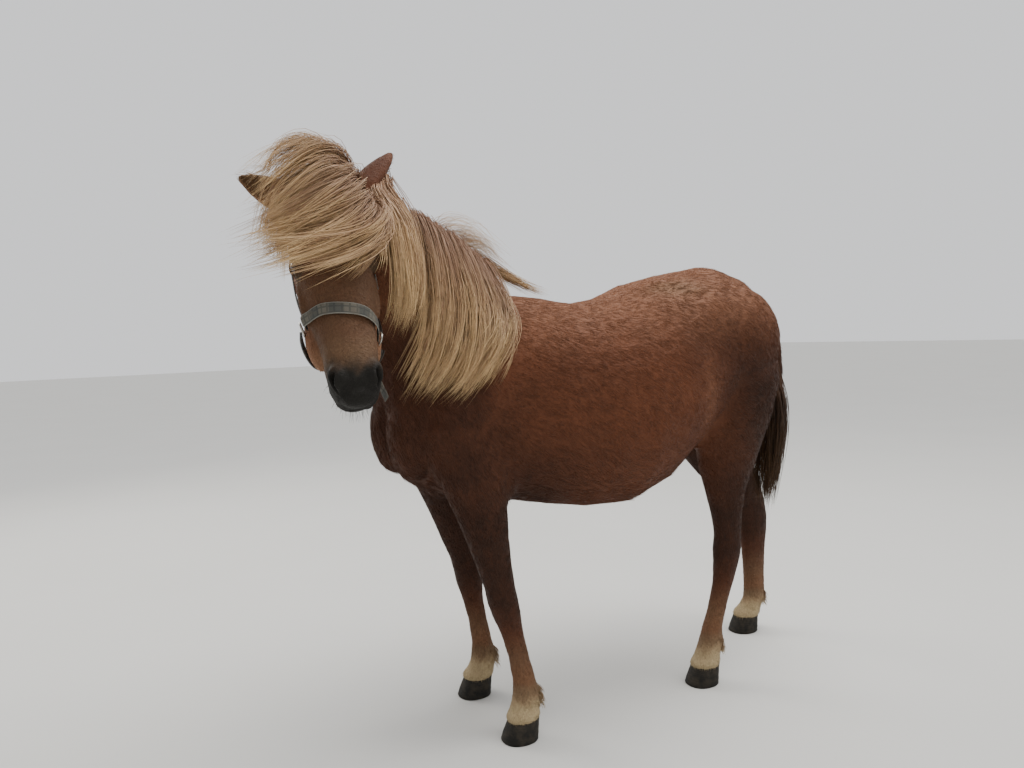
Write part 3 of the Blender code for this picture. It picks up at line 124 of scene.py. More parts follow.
def smoothstep(low: float, high: float, value: np.ndarray) -> np.ndarray:
    """A smooth ramp from 0 at low to 1 at high."""
    share = np.clip((value - low) / (high - low), 0.0, 1.0)
    return share * share * (3.0 - 2.0 * share)


def bell(value: np.ndarray, middle: float, width: float) -> np.ndarray:
    """A smooth hump of height 1 over its middle."""
    return np.exp(-(((value - middle) / width) ** 2))


def mound(points: np.ndarray, centre: Sequence[float], radii: Sequence[float]) -> np.ndarray:
    """The same hump over a place, with a width for each axis."""
    return np.exp(-(((points - np.array(centre)) / np.array(radii)) ** 2).sum(axis=1))


def distance(points: np.ndarray, place: Sequence[float]) -> np.ndarray:
    """How far points lie from a place."""
    return np.linalg.norm(points - np.array(place), axis=1)


def unit(vectors: np.ndarray) -> np.ndarray:
    """Vectors scaled to length one, along the last axis."""
    return vectors / np.maximum(np.linalg.norm(vectors, axis=-1, keepdims=True), 1e-9)


def ripple(points: np.ndarray, scale: float, phase: float) -> np.ndarray:
    """A smooth field between about -1 and 1 that changes over 1 / scale metres.

    Args:
        points: Places in the design frame, a row each.
        scale: How many swings a metre has.
        phase: Where the field starts.

    Returns:
        The field's value at each point.
    """
    p = points * scale
    x, y, z = p[..., 0], p[..., 1], p[..., 2]
    value = np.sin(x * 1.7 + y * 0.9 + phase) * np.sin(y * 1.3 - z * 1.1 + phase * 1.7)
    value = value + 0.6 * np.sin(z * 2.3 + x * 1.9 - phase * 0.6) * np.sin(y * 2.1 + z * 0.7 + phase)
    return value / 1.3


class Bodies(Enum):
    """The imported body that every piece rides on."""

    WHOLE = "root"


class Slot(Enum):
    """Material slots of the record."""

    COAT = "coat"
    TAIL = "tail_hair"
    HORN = "horn"
    EYE = "eye"
    WEBBING = "webbing"
    STRAP = "strap"
    FITTINGS = "fittings"


# Working by hand in object and edit mode


def deselect() -> None:
    """Leaves object mode with nothing selected."""
    if bpy.context.object is not None and bpy.context.object.mode != "OBJECT":
        bpy.ops.object.mode_set(mode="OBJECT")
    bpy.ops.object.select_all(action="DESELECT")


def pick(item: Object) -> Object:
    """Makes one object the only selected and active one.

    Args:
        item: The object.

    Returns:
        The same object.
    """
    deselect()
    item.select_set(True)
    bpy.context.view_layer.objects.active = item
    return item


def apply_all(item: Object) -> Object:
    """Applies every modifier of an object in order.

    Args:
        item: The object.

    Returns:
        The same object.
    """
    pick(item)
    for step in list(item.modifiers):
        bpy.ops.object.modifier_apply(modifier=step.name)
    return item


def join(items: Sequence[Object], name: str) -> Object:
    """Joins objects into one mesh under a new name.

    Args:
        items: The objects.
        name: The new name.

    Returns:
        The joined object.
    """
    deselect()
    for item in items:
        item.select_set(True)
    bpy.context.view_layer.objects.active = items[0]
    if len(items) > 1:
        bpy.ops.object.join()
    made = bpy.context.object
    made.name = name
    made.data.name = name
    return made


def coordinates(item: Object) -> np.ndarray:
    """The vertex places of an object's mesh.

    Args:
        item: The object.

    Returns:
        A row for each vertex.
    """
    co = np.empty(len(item.data.vertices) * 3, np.float32)
    item.data.vertices.foreach_get("co", co)
    return co.reshape(-1, 3).astype(float)


def set_coordinates(item: Object, points: np.ndarray) -> None:
    """Writes vertex places back to an object's mesh."""
    item.data.vertices.foreach_set("co", points.astype(np.float32).ravel())
    item.data.update()


def vertex_normals(item: Object) -> np.ndarray:
    """The vertex normals of an object's mesh.

    Args:
        item: The object.

    Returns:
        A row for each vertex.
    """
    found = np.empty(len(item.data.vertices) * 3, np.float32)
    item.data.vertices.foreach_get("normal", found)
    return found.reshape(-1, 3).astype(float)


def select_vertices(item: Object, chosen: np.ndarray) -> None:
    """Opens edit mode on an object with only the chosen vertices selected.

    Args:
        item: The object.
        chosen: Whether each vertex is chosen.
    """
    pick(item)
    mesh = item.data
    mesh.vertices.foreach_set("select", chosen.astype(bool))
    mesh.edges.foreach_set("select", np.zeros(len(mesh.edges), bool))
    mesh.polygons.foreach_set("select", np.zeros(len(mesh.polygons), bool))
    bpy.context.tool_settings.mesh_select_mode = (True, False, False)
    bpy.ops.object.mode_set(mode="EDIT")
    bpy.ops.mesh.select_mode(type="VERT")


def primitive(adder: Callable, name: str, **sizes: object) -> Object:
    """A primitive mesh at the origin, made with Blender's own adder for it.

    Args:
        adder: Blender's operator.
        name: The object's name.

    Returns:
        The object.
    """
    deselect()
    adder(location=(0, 0, 0), **sizes)
    made = bpy.context.object
    made.name = name
    return made


def modify(item: Object, kind: str, **settings: object) -> None:
    """Adds a modifier with its settings."""
    step = item.modifiers.new(kind.lower(), kind)
    for key, value in settings.items():
        setattr(step, key, value)


def edit_all() -> None:
    """Opens edit mode on the active object with all of it selected."""
    bpy.ops.object.mode_set(mode="EDIT")
    bpy.ops.mesh.select_all(action="SELECT")


def turn_outward() -> None:
    """Turns all faces of the edited object outward and leaves edit mode."""
    bpy.ops.mesh.select_all(action="SELECT")
    bpy.ops.mesh.normals_make_consistent(inside=False)
    bpy.ops.object.mode_set(mode="OBJECT")


def shaded(item: Object, degrees: float | None = None) -> Object:
    """Smooth shading, or smooth only where faces meet at less than an angle.

    Args:
        item: The object.
        degrees: The angle, or None for smooth shading all over.

    Returns:
        The same object.
    """
    pick(item)
    if degrees is None:
        bpy.ops.object.shade_smooth()
    else:
        bpy.ops.object.shade_smooth_by_angle(angle=math.radians(degrees))
    return item


def loft(name: str, rings: Sequence[Sequence[Vector]]) -> Object:
    """A closed body: a disc extruded once for each further ring, its corners then set on the rings.

    Args:
        name: The object's name.
        rings: Closed rings of equally many points, in order.

    Returns:
        The body, with its normals outward.
    """
    sides = len(rings[0])
    made = primitive(bpy.ops.mesh.primitive_circle_add, name, vertices=sides, radius=1.0, fill_type="NGON")
    edit_all()
    for _ in rings[1:]:
        bpy.ops.mesh.extrude_region_move(TRANSFORM_OT_translate={"value": (0.0, 0.0, 1.0)})
    bpy.ops.object.mode_set(mode="OBJECT")
    start = coordinates(made)
    level = np.round(start[:, 2]).astype(int)
    turn = np.round(np.arctan2(start[:, 1], start[:, 0]) / (2 * math.pi / sides)).astype(int) % sides
    table = np.array([[list(p) for p in ring] for ring in rings])
    set_coordinates(made, table[level, turn])
    edit_all()
    turn_outward()
    return made


def section(
    top: Vector, bottom: Vector, half: float, across: Vector, sides: int, square: float, low: float
) -> list[Vector]:
    """One rounded cross-section between a top and a bottom point.

    Args:
        top: Its highest point.
        bottom: Its lowest point.
        half: Half its width.
        across: Unit direction of the width.
        sides: Corners of the ring.
        square: 2 is an ellipse and more is squarer.
        low: Width of the lower half against the upper.

    Returns:
        The ring's points.
    """
    middle, up = (top + bottom) / 2, (top - bottom) / 2
    points = []
    for i in range(sides):
        c, s = math.cos(2 * math.pi * i / sides), math.sin(2 * math.pi * i / sides)
        x = math.copysign(abs(c) ** (2 / square), c)
        z = math.copysign(abs(s) ** (2 / square), s)
        width = half * (1 + (low - 1) * (0.5 - 0.5 * z))
        points.append(middle + up * z + across * (x * width))
    return points


def limb_of(name: str, sections: Sequence[tuple], sides: int = 24) -> Object:
    """A closed body through cross-sections.

    Args:
        name: The object's name.
        sections: Top, bottom, half width, squareness and lower width of each.
        sides: Corners of a ring.

    Returns:
        The body.
    """
    middles = [(Vector(s[0]) + Vector(s[1])) / 2 for s in sections]
    rings = []
    for i, (top, bottom, half, square, low) in enumerate(sections):
        along = middles[min(i + 1, len(sections) - 1)] - middles[max(i - 1, 0)]
        across = (Vector(top) - Vector(bottom)).cross(along).normalized()
        rings.append(section(Vector(top), Vector(bottom), half, across, sides, square, low))
    return loft(name, rings)


def mass(name: str, centre: Sequence[float], radii: Sequence[float], turn: Matrix | None = None) -> Object:
    """An ellipsoid of muscle or bone.

    Args:
        name: The object's name.
        centre: Its middle.
        radii: Its half axes.
        turn: The directions of its axes.

    Returns:
        The body, its place in its mesh.
    """
    made = primitive(bpy.ops.mesh.primitive_uv_sphere_add, name, segments=28, ring_count=16, radius=1.0)
    shape = Matrix.Diagonal(Vector(radii)).to_4x4()
    made.data.transform(Matrix.Translation(Vector(centre)) @ (turn or Matrix.Identity(3)).to_4x4() @ shape)
    return made


def smooth_path(points: Sequence[Sequence[float]], count: int) -> np.ndarray:
    """Evenly spaced points along a smooth curve.

    Args:
        points: What the curve runs through.
        count: How many points to return.

    Returns:
        An array of the points.
    """
    given = np.array([list(p) for p in points], float)
    padded = np.vstack([2 * given[0] - given[1], given, 2 * given[-1] - given[-2]])
    share = np.linspace(0, 1, 17)[:-1][:, None]
    fine = []
    for a, b, c, d in zip(padded, padded[1:], padded[2:], padded[3:]):
        second, third = 2 * a - 5 * b + 4 * c - d, 3 * b - a - 3 * c + d
        fine.append(0.5 * (2 * b + (c - a) * share + second * share**2 + third * share**3))
    curve = np.vstack(fine + [given[-1:]])
    gone = np.concatenate([[0.0], np.cumsum(np.linalg.norm(np.diff(curve, axis=0), axis=1))])
    goal = np.linspace(0, gone[-1], count)
    return np.stack([np.interp(goal, gone, curve[:, k]) for k in range(3)], axis=1)


def settle(item: Object, slot: Slot, *replaced: str) -> Object:
    """Args:
        item: The piece, modelled in the design frame.
        slot: A material slot of the record; not used.
        replaced: CAD nodes that it stands for.

    Returns:
        The piece.
    """
    item.data.transform(Matrix.Translation(SETTLE))
    item.data.update()
    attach(item, Bodies.WHOLE.value)
    if replaced:
        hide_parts(*replaced)
    item.data.calc_loop_triangles()
    LOG.info("%s: %d triangles", item.name, len(item.data.loop_triangles))
    return item


# Markings, painted shade and painted light, the same for skin and coat


def marks_and_painted_light(points: np.ndarray) -> np.ndarray:
    """The pony's markings, with painted shade and painted light, at places in the design frame.

    Args:
        points: Places on the skin.

    Returns:
        Four columns from 0 to 1: dark, which also holds painted shade; pale, which also holds a painted
            sheen; black; and warm, which also holds painted light.
    """
    side, front, down = head_measures(points).T
    x, y, z = points.T
    on = smoothstep(-0.02, 0.03, past_neck(points))
    body = 1.0 - on
    rough = ripple(points, 60.0, 0.4) * 0.5 + ripple(points, 140.0, 2.0) * 0.3

    # Painted shade that darkens the legs, the lower body, the breast and the haunches; a darker band round
    # the fetlocks
    # Painted shade over the legs and the lower body, lighter down the cannons and under the middle of the
    # belly
    limb = smoothstep(0.64, 0.5, z)
    limb = limb + (1 - limb) * smoothstep(0.78, 0.6, z) * 0.6
    dark = (0.45 * smoothstep(0.13, 0.2, z) + 0.5 * smoothstep(0.2, 0.33, z)) * limb * body
    dark = dark * (1 - 0.75 * np.exp(-((y / 0.22) ** 4)) * smoothstep(0.44, 0.47, z))
    # Painted shade low on the breast and over the forearms
    dark = np.maximum(dark, 0.85 * mound(points[:, 1:], (-0.47, 0.62), (0.15, 0.17)) * body)
    low_body = smoothstep(0.4, 0.55, z)
    # Painted shade on the haunches under the croup, and on the breast
    behind = smoothstep(0.05, 0.34, y - 0.3 * (0.75 - z)) * smoothstep(1.03, 0.72, z)
    dark = np.maximum(dark, 0.95 * behind * low_body * body)
    breast = smoothstep(-0.36, -0.44, y) * smoothstep(1.05, 0.85, z)
    dark = np.maximum(dark, 0.75 * breast * low_body * body)
    low_leg = smoothstep(0.135, 0.118, z + rough * 0.012) * smoothstep(0.088, 0.104, z + rough * 0.01)
    dark = np.maximum(dark, 0.45 * low_leg * body)

    # Dark lids, face and ears
    for word in (1, -1):
        away = distance(points, eye_centre(word))
        dark = np.maximum(dark, 0.62 * np.exp(-((away / 0.036) ** 4)) * on)
        dark = np.maximum(dark, 0.98 * smoothstep(0.03, 0.022, away) * on)
    face = on * smoothstep(0.02, 0.1, down) * smoothstep(-0.11, -0.05, front)
    dark = np.maximum(dark, 0.58 * face)
    ears = smoothstep(0.0, -0.05, down) * on
    far_ear = ears * smoothstep(0.01, -0.02, side)
    dark = dark * (1 - ears) + 0.35 * ears - 0.2 * far_ear

    # Pale pasterns and the paler spots of the fetlocks
    pale = (0.3 * smoothstep(0.15, 0.105, z) + 0.7 * smoothstep(0.108, 0.07, z + rough * 0.01)) * body
    for out, back in ((0.131, -0.294), (-0.131, -0.28), (0.111, 0.246), (-0.111, 0.601)):
        near = bell(distance(points, (out, back, 0.098)), 0.0, 0.024)
        pale = np.maximum(pale, 0.74 * near)
        dark = dark * (1 - 0.8 * near)
    pale = np.maximum(pale, 0.15 * smoothstep(0.26, 0.16, z) * body)
    pale = np.maximum(pale, 0.1 * face + 0.26 * far_ear)
    pale = np.maximum(pale, 0.16 * on * smoothstep(0.26, 0.33, down))

    # Painted sheen on the flank, a painted grey sheen on the loin, the black muzzle, the warmer lower face,
    # and painted light that warms and lightens the top of the back
    # Painted sheen: a lighter, warmer band down the flank
    band = ((y - 0.155 - 0.1 * (0.75 - z)) / 0.026) ** 2 + ((z - 0.735) / 0.1) ** 2
    sheen = 0.45 * np.exp(-band) * body
    dark = dark * (1 - sheen)
    # Painted grey sheen on the loin, over the fold there
    painted_loin_sheen = mound(points[:, 1:], (0.12, 1.0), (0.07, 0.022)) * smoothstep(0.05, 0.11, x) * body
    pale = np.maximum(pale, 0.16 * painted_loin_sheen)
    dark = np.maximum(dark, 0.24 * painted_loin_sheen)
    black = smoothstep(0.332, 0.384, down + rough * 0.014 + np.abs(side) * 0.16) * on
    warm_and_lit = on * smoothstep(0.16, 0.24, down) * smoothstep(-0.055, -0.1, front) * (1 - black)
    # Painted light on the top of the back, warmer and lighter
    warm_and_lit = np.maximum(warm_and_lit, 0.52 * smoothstep(0.82, 0.99, z + rough * 0.02) * body)
    # The flank's painted sheen, warmed as well
    warm_and_lit = np.maximum(warm_and_lit, 0.6 * sheen)
    return np.clip(np.stack([dark, pale, black, warm_and_lit], axis=1), 0.0, 1.0)


def store(item: Object, name: str, kind: str, values: np.ndarray) -> None:
    """Keeps one value or colour a vertex in a named attribute."""
    kept = item.data.attributes.new(name, kind, "POINT")
    kept.data.foreach_set("value" if kind == "FLOAT" else "color", values.astype(np.float32).ravel())


def store_uv(item: Object, name: str, places: np.ndarray) -> None:
    """Keeps a UV map that gives each vertex one place.

    Args:
        item: The object.
        name: The map's name.
        places: A place for each vertex.
    """
    corner = np.empty(len(item.data.loops), np.int32)
    item.data.loops.foreach_get("vertex_index", corner)
    item.data.uv_layers.new(name=name).data.foreach_set("uv", places[corner].astype(np.float32).ravel())


# Finishes: groups shared by several materials, and one class a family of materials

Colour = tuple[float, float, float]
COLOUR_SOCKET = "NodeSocketColor"
VALUE_SOCKET = "NodeSocketFloat"
# Coat colours; the dark brown also paints shade low on the body, the warm red also paints light on the back
# and the flank
CHESTNUT = (0.163, 0.0555, 0.0245)
DARK_BROWN = (0.036, 0.0135, 0.0065)
STRAW = (0.45, 0.355, 0.205)
BLACK_MUZZLE = (0.013, 0.012, 0.01)
WARM_RED = (0.38, 0.18, 0.098)


class Nodes:
    """A short hand for wiring one node tree."""

    def __init__(self, tree: NodeTree) -> None:
        """Keeps the tree."""
        self.tree = tree
        self.place = None

    @property
    def own(self) -> NodeSocket:
        """The piece's own coordinates."""
        if self.place is None:
            self.place = self.add("ShaderNodeTexCoord")
        return self.place.outputs["Object"]

    def add(self, kind: str, inputs: dict | None = None, **settings: object) -> Node:
        """A new node with its settings, its inputs fed with sockets or plain values.

        Args:
            kind: The node's kind.
            inputs: A value or a socket for each input.

        Returns:
            The node.
        """
        made = self.tree.nodes.new(kind)
        for key, value in settings.items():
            setattr(made, key, value)
        for key, value in (inputs or {}).items():
            self.feed(made.inputs[key], value)
        return made

    def feed(self, target: NodeSocket, value: object) -> None:
        """Links a socket to another one, or gives it a plain value. A colour of three gets its alpha."""
        if isinstance(value, NodeSocket):
            self.tree.links.new(value, target)
        elif target.type == "RGBA":
            target.default_value = (*value[:3], 1.0)
        else:
            target.default_value = value

    def attribute(self, name: str) -> NodeSocket:
        """A named attribute of the mesh, as a value."""
        return self.add("ShaderNodeAttribute", attribute_name=name).outputs["Fac"]

    def noise(self, scale: float, detail: float, vector: NodeSocket | None = None) -> NodeSocket:
        """A noise on the piece's own coordinates, or on others."""
        inputs = {"Scale": scale, "Detail": detail, "Vector": vector or self.own}
        return self.add("ShaderNodeTexNoise", inputs).outputs["Fac"]

    def ramp(
        self, source: NodeSocket, low: float, high: float, start: float = 0.0, end: float = 1.0
    ) -> NodeSocket:
        """A value carried from one span to another."""
        spans = {"Value": source, "From Min": low, "From Max": high, "To Min": start, "To Max": end}
        return self.add("ShaderNodeMapRange", spans, clamp=True).outputs["Result"]

    def mix(self, share: object, first: object, second: object, blend: str = "MIX") -> NodeSocket:
        """A mix of two colours, each a socket or a colour."""
        inputs = {0: share, 6: first, 7: second}
        return self.add("ShaderNodeMix", inputs, data_type="RGBA", blend_type=blend).outputs[2]

    def maths(self, operation: str, *values: object) -> NodeSocket:
        """One step of arithmetic on sockets or numbers."""
        return self.add("ShaderNodeMath", dict(enumerate(values)), operation=operation).outputs[0]

    def waves(self, source: NodeSocket, turns: float) -> NodeSocket:
        """A sine that goes round so many times for each step of one."""
        return self.maths("SINE", self.maths("MULTIPLY", source, 2 * math.pi * turns))


def group(name: str, inputs: dict, outputs: dict) -> tuple[Nodes, object, object]:
    """An empty shader node group.

    Args:
        name: Its name.
        inputs: The value of each input, a colour or a number.
        outputs: Whether each output is a colour.

    Returns:
        Its wiring, the sockets that come in and the sockets that go out.
    """
    tree = bpy.data.node_groups.new(name, "ShaderNodeTree")
    for label, value in inputs.items():
        kind = COLOUR_SOCKET if isinstance(value, tuple) else VALUE_SOCKET
        made = tree.interface.new_socket(name=label, in_out="INPUT", socket_type=kind)
        made.default_value = (*value, 1.0) if isinstance(value, tuple) else value
    for label, coloured in outputs.items():
        kind = COLOUR_SOCKET if coloured else VALUE_SOCKET
        tree.interface.new_socket(name=label, in_out="OUTPUT", socket_type=kind)
    n = Nodes(tree)
    return n, n.add("NodeGroupInput").outputs, n.add("NodeGroupOutput").inputs


def marks_and_light_group() -> NodeTree:
    """The coat's colour from its markings and its painted shade and light, for the skin and for every tuft.

    Returns:
        A group with the coat's five colours and its Grain in, and a Color and the Grain's relief out.
    """
    inputs = {"Chestnut": CHESTNUT, "Dark": DARK_BROWN, "Pale": STRAW, "Black": BLACK_MUZZLE}
    inputs = {**inputs, "Warm": WARM_RED, "Grain": 0.5}
    n, start, end = group("coat_marks_and_painted_light", inputs, {"Color": True, "Grain": False})
    mark_and_light = n.add("ShaderNodeAttribute", attribute_name="mark_and_light")
    split = n.add("ShaderNodeSeparateColor", {0: mark_and_light.outputs["Color"]}).outputs
    broad, patch = n.noise(7.0, 3.0), n.noise(38.0, 4.0)
    stretch = n.add("ShaderNodeMapping", {"Vector": n.own, "Scale": (420.0, 150.0, 190.0)})
    hairs = n.noise(1.0, 3.0, stretch.outputs["Vector"])
    colour = n.mix(n.ramp(broad, 0.35, 0.68, 0.0, 0.3), start["Chestnut"], start["Dark"])
    # Warm also lays the painted light on the back and the flank, Dark the painted shade, Pale part of the
    # painted sheen on the loin
    for share, spans, name in (
        (mark_and_light.outputs["Alpha"], (0.3, 0.65, 0.65, 1.0), "Warm"),
        (split[0], (0.25, 0.6, 0.88, 1.06), "Dark"),
        (split[1], (0.25, 0.6, 0.8, 1.0), "Pale"),
    ):
        colour = n.mix(n.maths("MULTIPLY", share, n.ramp(patch, *spans)), colour, start[name])
    colour = n.mix(split[2], colour, start["Black"])
    fine = n.maths("MULTIPLY", n.ramp(hairs, 0.3, 0.72), start["Grain"])
    n.feed(end["Color"], n.mix(fine, colour, (0.52, 0.46, 0.44), "MULTIPLY"))
    n.feed(end["Grain"], hairs)
    return n.tree


def wear_group() -> NodeTree:
    """Dust and small scuffs for straps, fittings and hooves.

    Returns:
        A group with Base and Dust colours, a Scale and an Amount in, and Color, Mask and Height out.
    """
    inputs = {"Base": (0.1, 0.1, 0.1), "Dust": (0.3, 0.26, 0.2), "Scale": 60.0, "Amount": 0.5}
    n, start, end = group("dust_and_scuffs", inputs, {"Color": True, "Mask": False, "Height": False})
    spots = n.noise(start["Scale"], 5.0)
    mask = n.maths("MULTIPLY", n.ramp(spots, 0.42, 0.66), start["Amount"])
    n.feed(end["Color"], n.mix(mask, start["Base"], start["Dust"]))
    n.feed(end["Mask"], mask)
    n.feed(end["Height"], n.maths("ADD", n.noise(900.0, 2.0), mask))
    return n.tree


def principled(name: str, inputs: dict) -> tuple[Material, Nodes, Node]:
    """A material with its wiring and its shader, whose inputs are set.

    Args:
        name: The material's name.
        inputs: A value or a socket for each of the shader's inputs.

    Returns:
        The material, its wiring and its shader.
    """
    made = bpy.data.materials.new(name)
    made.use_nodes = True
    n, shader = Nodes(made.node_tree), made.node_tree.nodes["Principled BSDF"]
    for key, value in inputs.items():
        n.feed(shader.inputs[key], value)
    return made, n, shader


def bumped(n: Nodes, shader: Node, height: NodeSocket, strength: float, distance: float) -> None:
    """Feeds a height to the shader's normal through a Bump node."""
    bump = n.add("ShaderNodeBump", {"Strength": strength, "Distance": distance, "Height": height})
    n.feed(shader.inputs["Normal"], bump.outputs["Normal"])


@dataclass(frozen=True)
class CoatFinish:
    """Skin and short coat.

    Attributes:
        name: The material's name.
        gain: How far a tuft's tip is lighter than its root.
        bump: Strength of the fur's relief, on the skin.
        lighter: What a tip's colour is multiplied by at the most.
    """

    name: str
    gain: float = 0.0
    bump: float = 0.0
    lighter: Colour = (1.6, 1.5, 1.42)

    def build(self, marks_and_light: NodeTree) -> Material:
        """The material, wired.

        Args:
            marks_and_light: The group of the coat's markings, painted shade and painted light.

        Returns:
            The material.
        """
        soft = {"Roughness": 0.62, "Specular IOR Level": 0.16, "Sheen Weight": 0.03, "Sheen Roughness": 0.45}
        made, n, shader = principled(self.name, soft)
        tone = n.add("ShaderNodeGroup", node_tree=marks_and_light)
        n.feed(tone.inputs["Grain"], 0.6 if self.bump else 0.12)
        colour = tone.outputs["Color"]
        if self.gain:
            tip = n.ramp(n.attribute("along"), 0.0, 1.0, 0.15, 1.0)
            share = n.maths("MULTIPLY", tip, n.ramp(n.attribute("lot"), 0.0, 1.0, 0.2, self.gain))
            colour = n.mix(share, colour, self.lighter, "MULTIPLY")
        n.feed(shader.inputs["Base Color"], colour)
        if self.bump:
            bumped(n, shader, tone.outputs["Grain"], self.bump, 0.004)
        return made


@dataclass(frozen=True)
class HairFinish:
    """Long hair: a root, a middle and a tip colour, each lock between a light and a dark one."""

    name: str
    root: Colour
    middle: Colour
    tip: Colour
    shade: Colour
    roughness: float = 0.46
    gloss: float = 0.38

    def build(self) -> Material:
        """The material, wired.

        Returns:
            The material.
        """
        inputs = {"Roughness": self.roughness, "Specular IOR Level": self.gloss, "Sheen Weight": 0.04}
        made, n, shader = principled(self.name, inputs)
        along, lot = n.attribute("along"), n.attribute("lot")
        patch, streak = n.noise(24.0, 3.0), n.noise(160.0, 2.0)
        colour = n.mix(n.ramp(along, 0.1, 0.58), self.root, self.middle)
        colour = n.mix(n.ramp(along, 0.42, 0.92), colour, self.tip)
        deep = n.maths("MULTIPLY", n.ramp(lot, 0.3, 0.95), n.ramp(patch, 0.3, 0.68, 0.3, 1.0))
        colour = n.mix(deep, colour, self.shade)
        n.feed(shader.inputs["Base Color"], n.mix(n.ramp(streak, 0.35, 0.75, 0.0, 0.35), colour, self.shade))
        return made


@dataclass(frozen=True)
class PlainFinish:
    """Leather or metal, with dust and scuffs."""

    name: str
    colour: Colour
    dust: Colour
    roughness: float
    metallic: float = 0.0
    scale: float = 60.0
    amount: float = 0.5
    bump: float = 0.3

    def build(self, wear: NodeTree) -> Material:
        """The material, wired.

        Args:
            wear: The group of dust and scuffs.

        Returns:
            The material.
        """
        made, n, shader = principled(self.name, {"Metallic": self.metallic})
        inputs = {"Base": self.colour, "Dust": self.dust, "Scale": self.scale, "Amount": self.amount}
        worn = n.add("ShaderNodeGroup", node_tree=wear)
        for key, value in inputs.items():
            n.feed(worn.inputs[key], value)
        n.feed(shader.inputs["Base Color"], worn.outputs["Color"])
        low, high = self.roughness, min(1.0, self.roughness + 0.35)
        n.feed(shader.inputs["Roughness"], n.ramp(worn.outputs["Mask"], 0.0, 1.0, low, high))
        bumped(n, shader, worn.outputs["Height"], self.bump, 0.0008)
        return made


@dataclass(frozen=True)
class HoofFinish:
    """Grey horn with growth rings that run round the wall."""

    name: str = "hoof_horn"
    low: Colour = (0.014, 0.013, 0.011)
    high: Colour = (0.034, 0.029, 0.023)
    fibre: Colour = (0.014, 0.013, 0.012)
    dust: Colour = (0.075, 0.06, 0.042)

    def build(self, wear: NodeTree) -> Material:
        """The material, wired.

        Args:
            wear: The group of dust and scuffs.

        Returns:
            The material.
        """
        made, n, shader = principled(self.name, {"Roughness": 0.68, "Specular IOR Level": 0.2})
        z = n.add("ShaderNodeSeparateXYZ", {0: n.own}).outputs["Z"]
        level = n.maths("ADD", z, n.maths("MULTIPLY", n.noise(30.0, 2.0), 0.01))
        rings = n.maths("SINE", n.maths("MULTIPLY", level, 1250.0))
        fall = n.add("ShaderNodeMapping", {"Vector": n.own, "Scale": (700.0, 700.0, 40.0)})
        fibres = n.noise(1.0, 2.0, fall.outputs["Vector"])
        base = n.mix(n.ramp(z, 0.02, 0.052), self.low, self.high)
        base = n.mix(n.ramp(fibres, 0.35, 0.7, 0.0, 0.6), base, self.fibre)
        worn = n.add("ShaderNodeGroup", node_tree=wear)
        for key, value in {"Base": base, "Dust": self.dust, "Scale": 55.0, "Amount": 0.35}.items():
            n.feed(worn.inputs[key], value)
        n.feed(shader.inputs["Base Color"], worn.outputs["Color"])
        bumped(n, shader, n.maths("ADD", n.maths("MULTIPLY", rings, 0.35), fibres), 0.45, 0.0012)
        return made


@dataclass(frozen=True)
class WebbingFinish:
    """Woven webbing: a checked weave that follows the strap, with paler edges that are a painted highlight,
    and some dirt.
    """

    name: str
    colour: Colour = (0.078, 0.08, 0.07)
    # Colour of the painted highlight along both edges
    edge: Colour = (0.27, 0.262, 0.225)
    check: Colour = (0.205, 0.185, 0.14)
    line: Colour = (0.03, 0.033, 0.034)
    gap: Colour = (0.055, 0.056, 0.05)
    dirt: Colour = (0.12, 0.098, 0.07)

    def build(self) -> Material:
        """The material. The UV map Strap runs along it in strap widths, and across it from 0 to 1.

        Returns:
            The material.
        """
        made, n, shader = principled(self.name, {"Roughness": 0.85})
        lie = n.add("ShaderNodeUVMap", uv_map="Strap")
        parts = n.add("ShaderNodeSeparateXYZ", {0: lie.outputs["UV"]}).outputs
        along, across = parts["X"], parts["Y"]
        weave = n.maths("MULTIPLY", n.waves(across, 11), n.waves(along, 13))
        # Painted highlight along both edges, also used for a little relief
        edge_highlight = n.ramp(n.maths("ABSOLUTE", n.maths("SUBTRACT", across, 0.5)), 0.395, 0.44)
        square = n.ramp(n.waves(along, 0.42), -0.15, 0.15)
        stripe = n.ramp(n.waves(along, 1.68), 0.55, 0.8)
        lane = n.ramp(n.waves(across, 2.0), 0.55, 0.8)
        base = n.mix(n.maths("MULTIPLY", square, 0.62), self.colour, self.check)
        base = n.mix(n.maths("MULTIPLY", n.maths("MAXIMUM", stripe, lane), 0.55), base, self.line)
        base = n.mix(edge_highlight, base, self.edge)
        base = n.mix(n.ramp(weave, -1.0, 1.0, 0.0, 0.45), base, self.gap)
        base = n.mix(n.ramp(n.noise(70.0, 4.0), 0.45, 0.75, 0.0, 0.55), base, self.dirt)
        n.feed(shader.inputs["Base Color"], base)
        bumped(n, shader, n.maths("ADD", weave, edge_highlight), 0.55, 0.001)
        return made


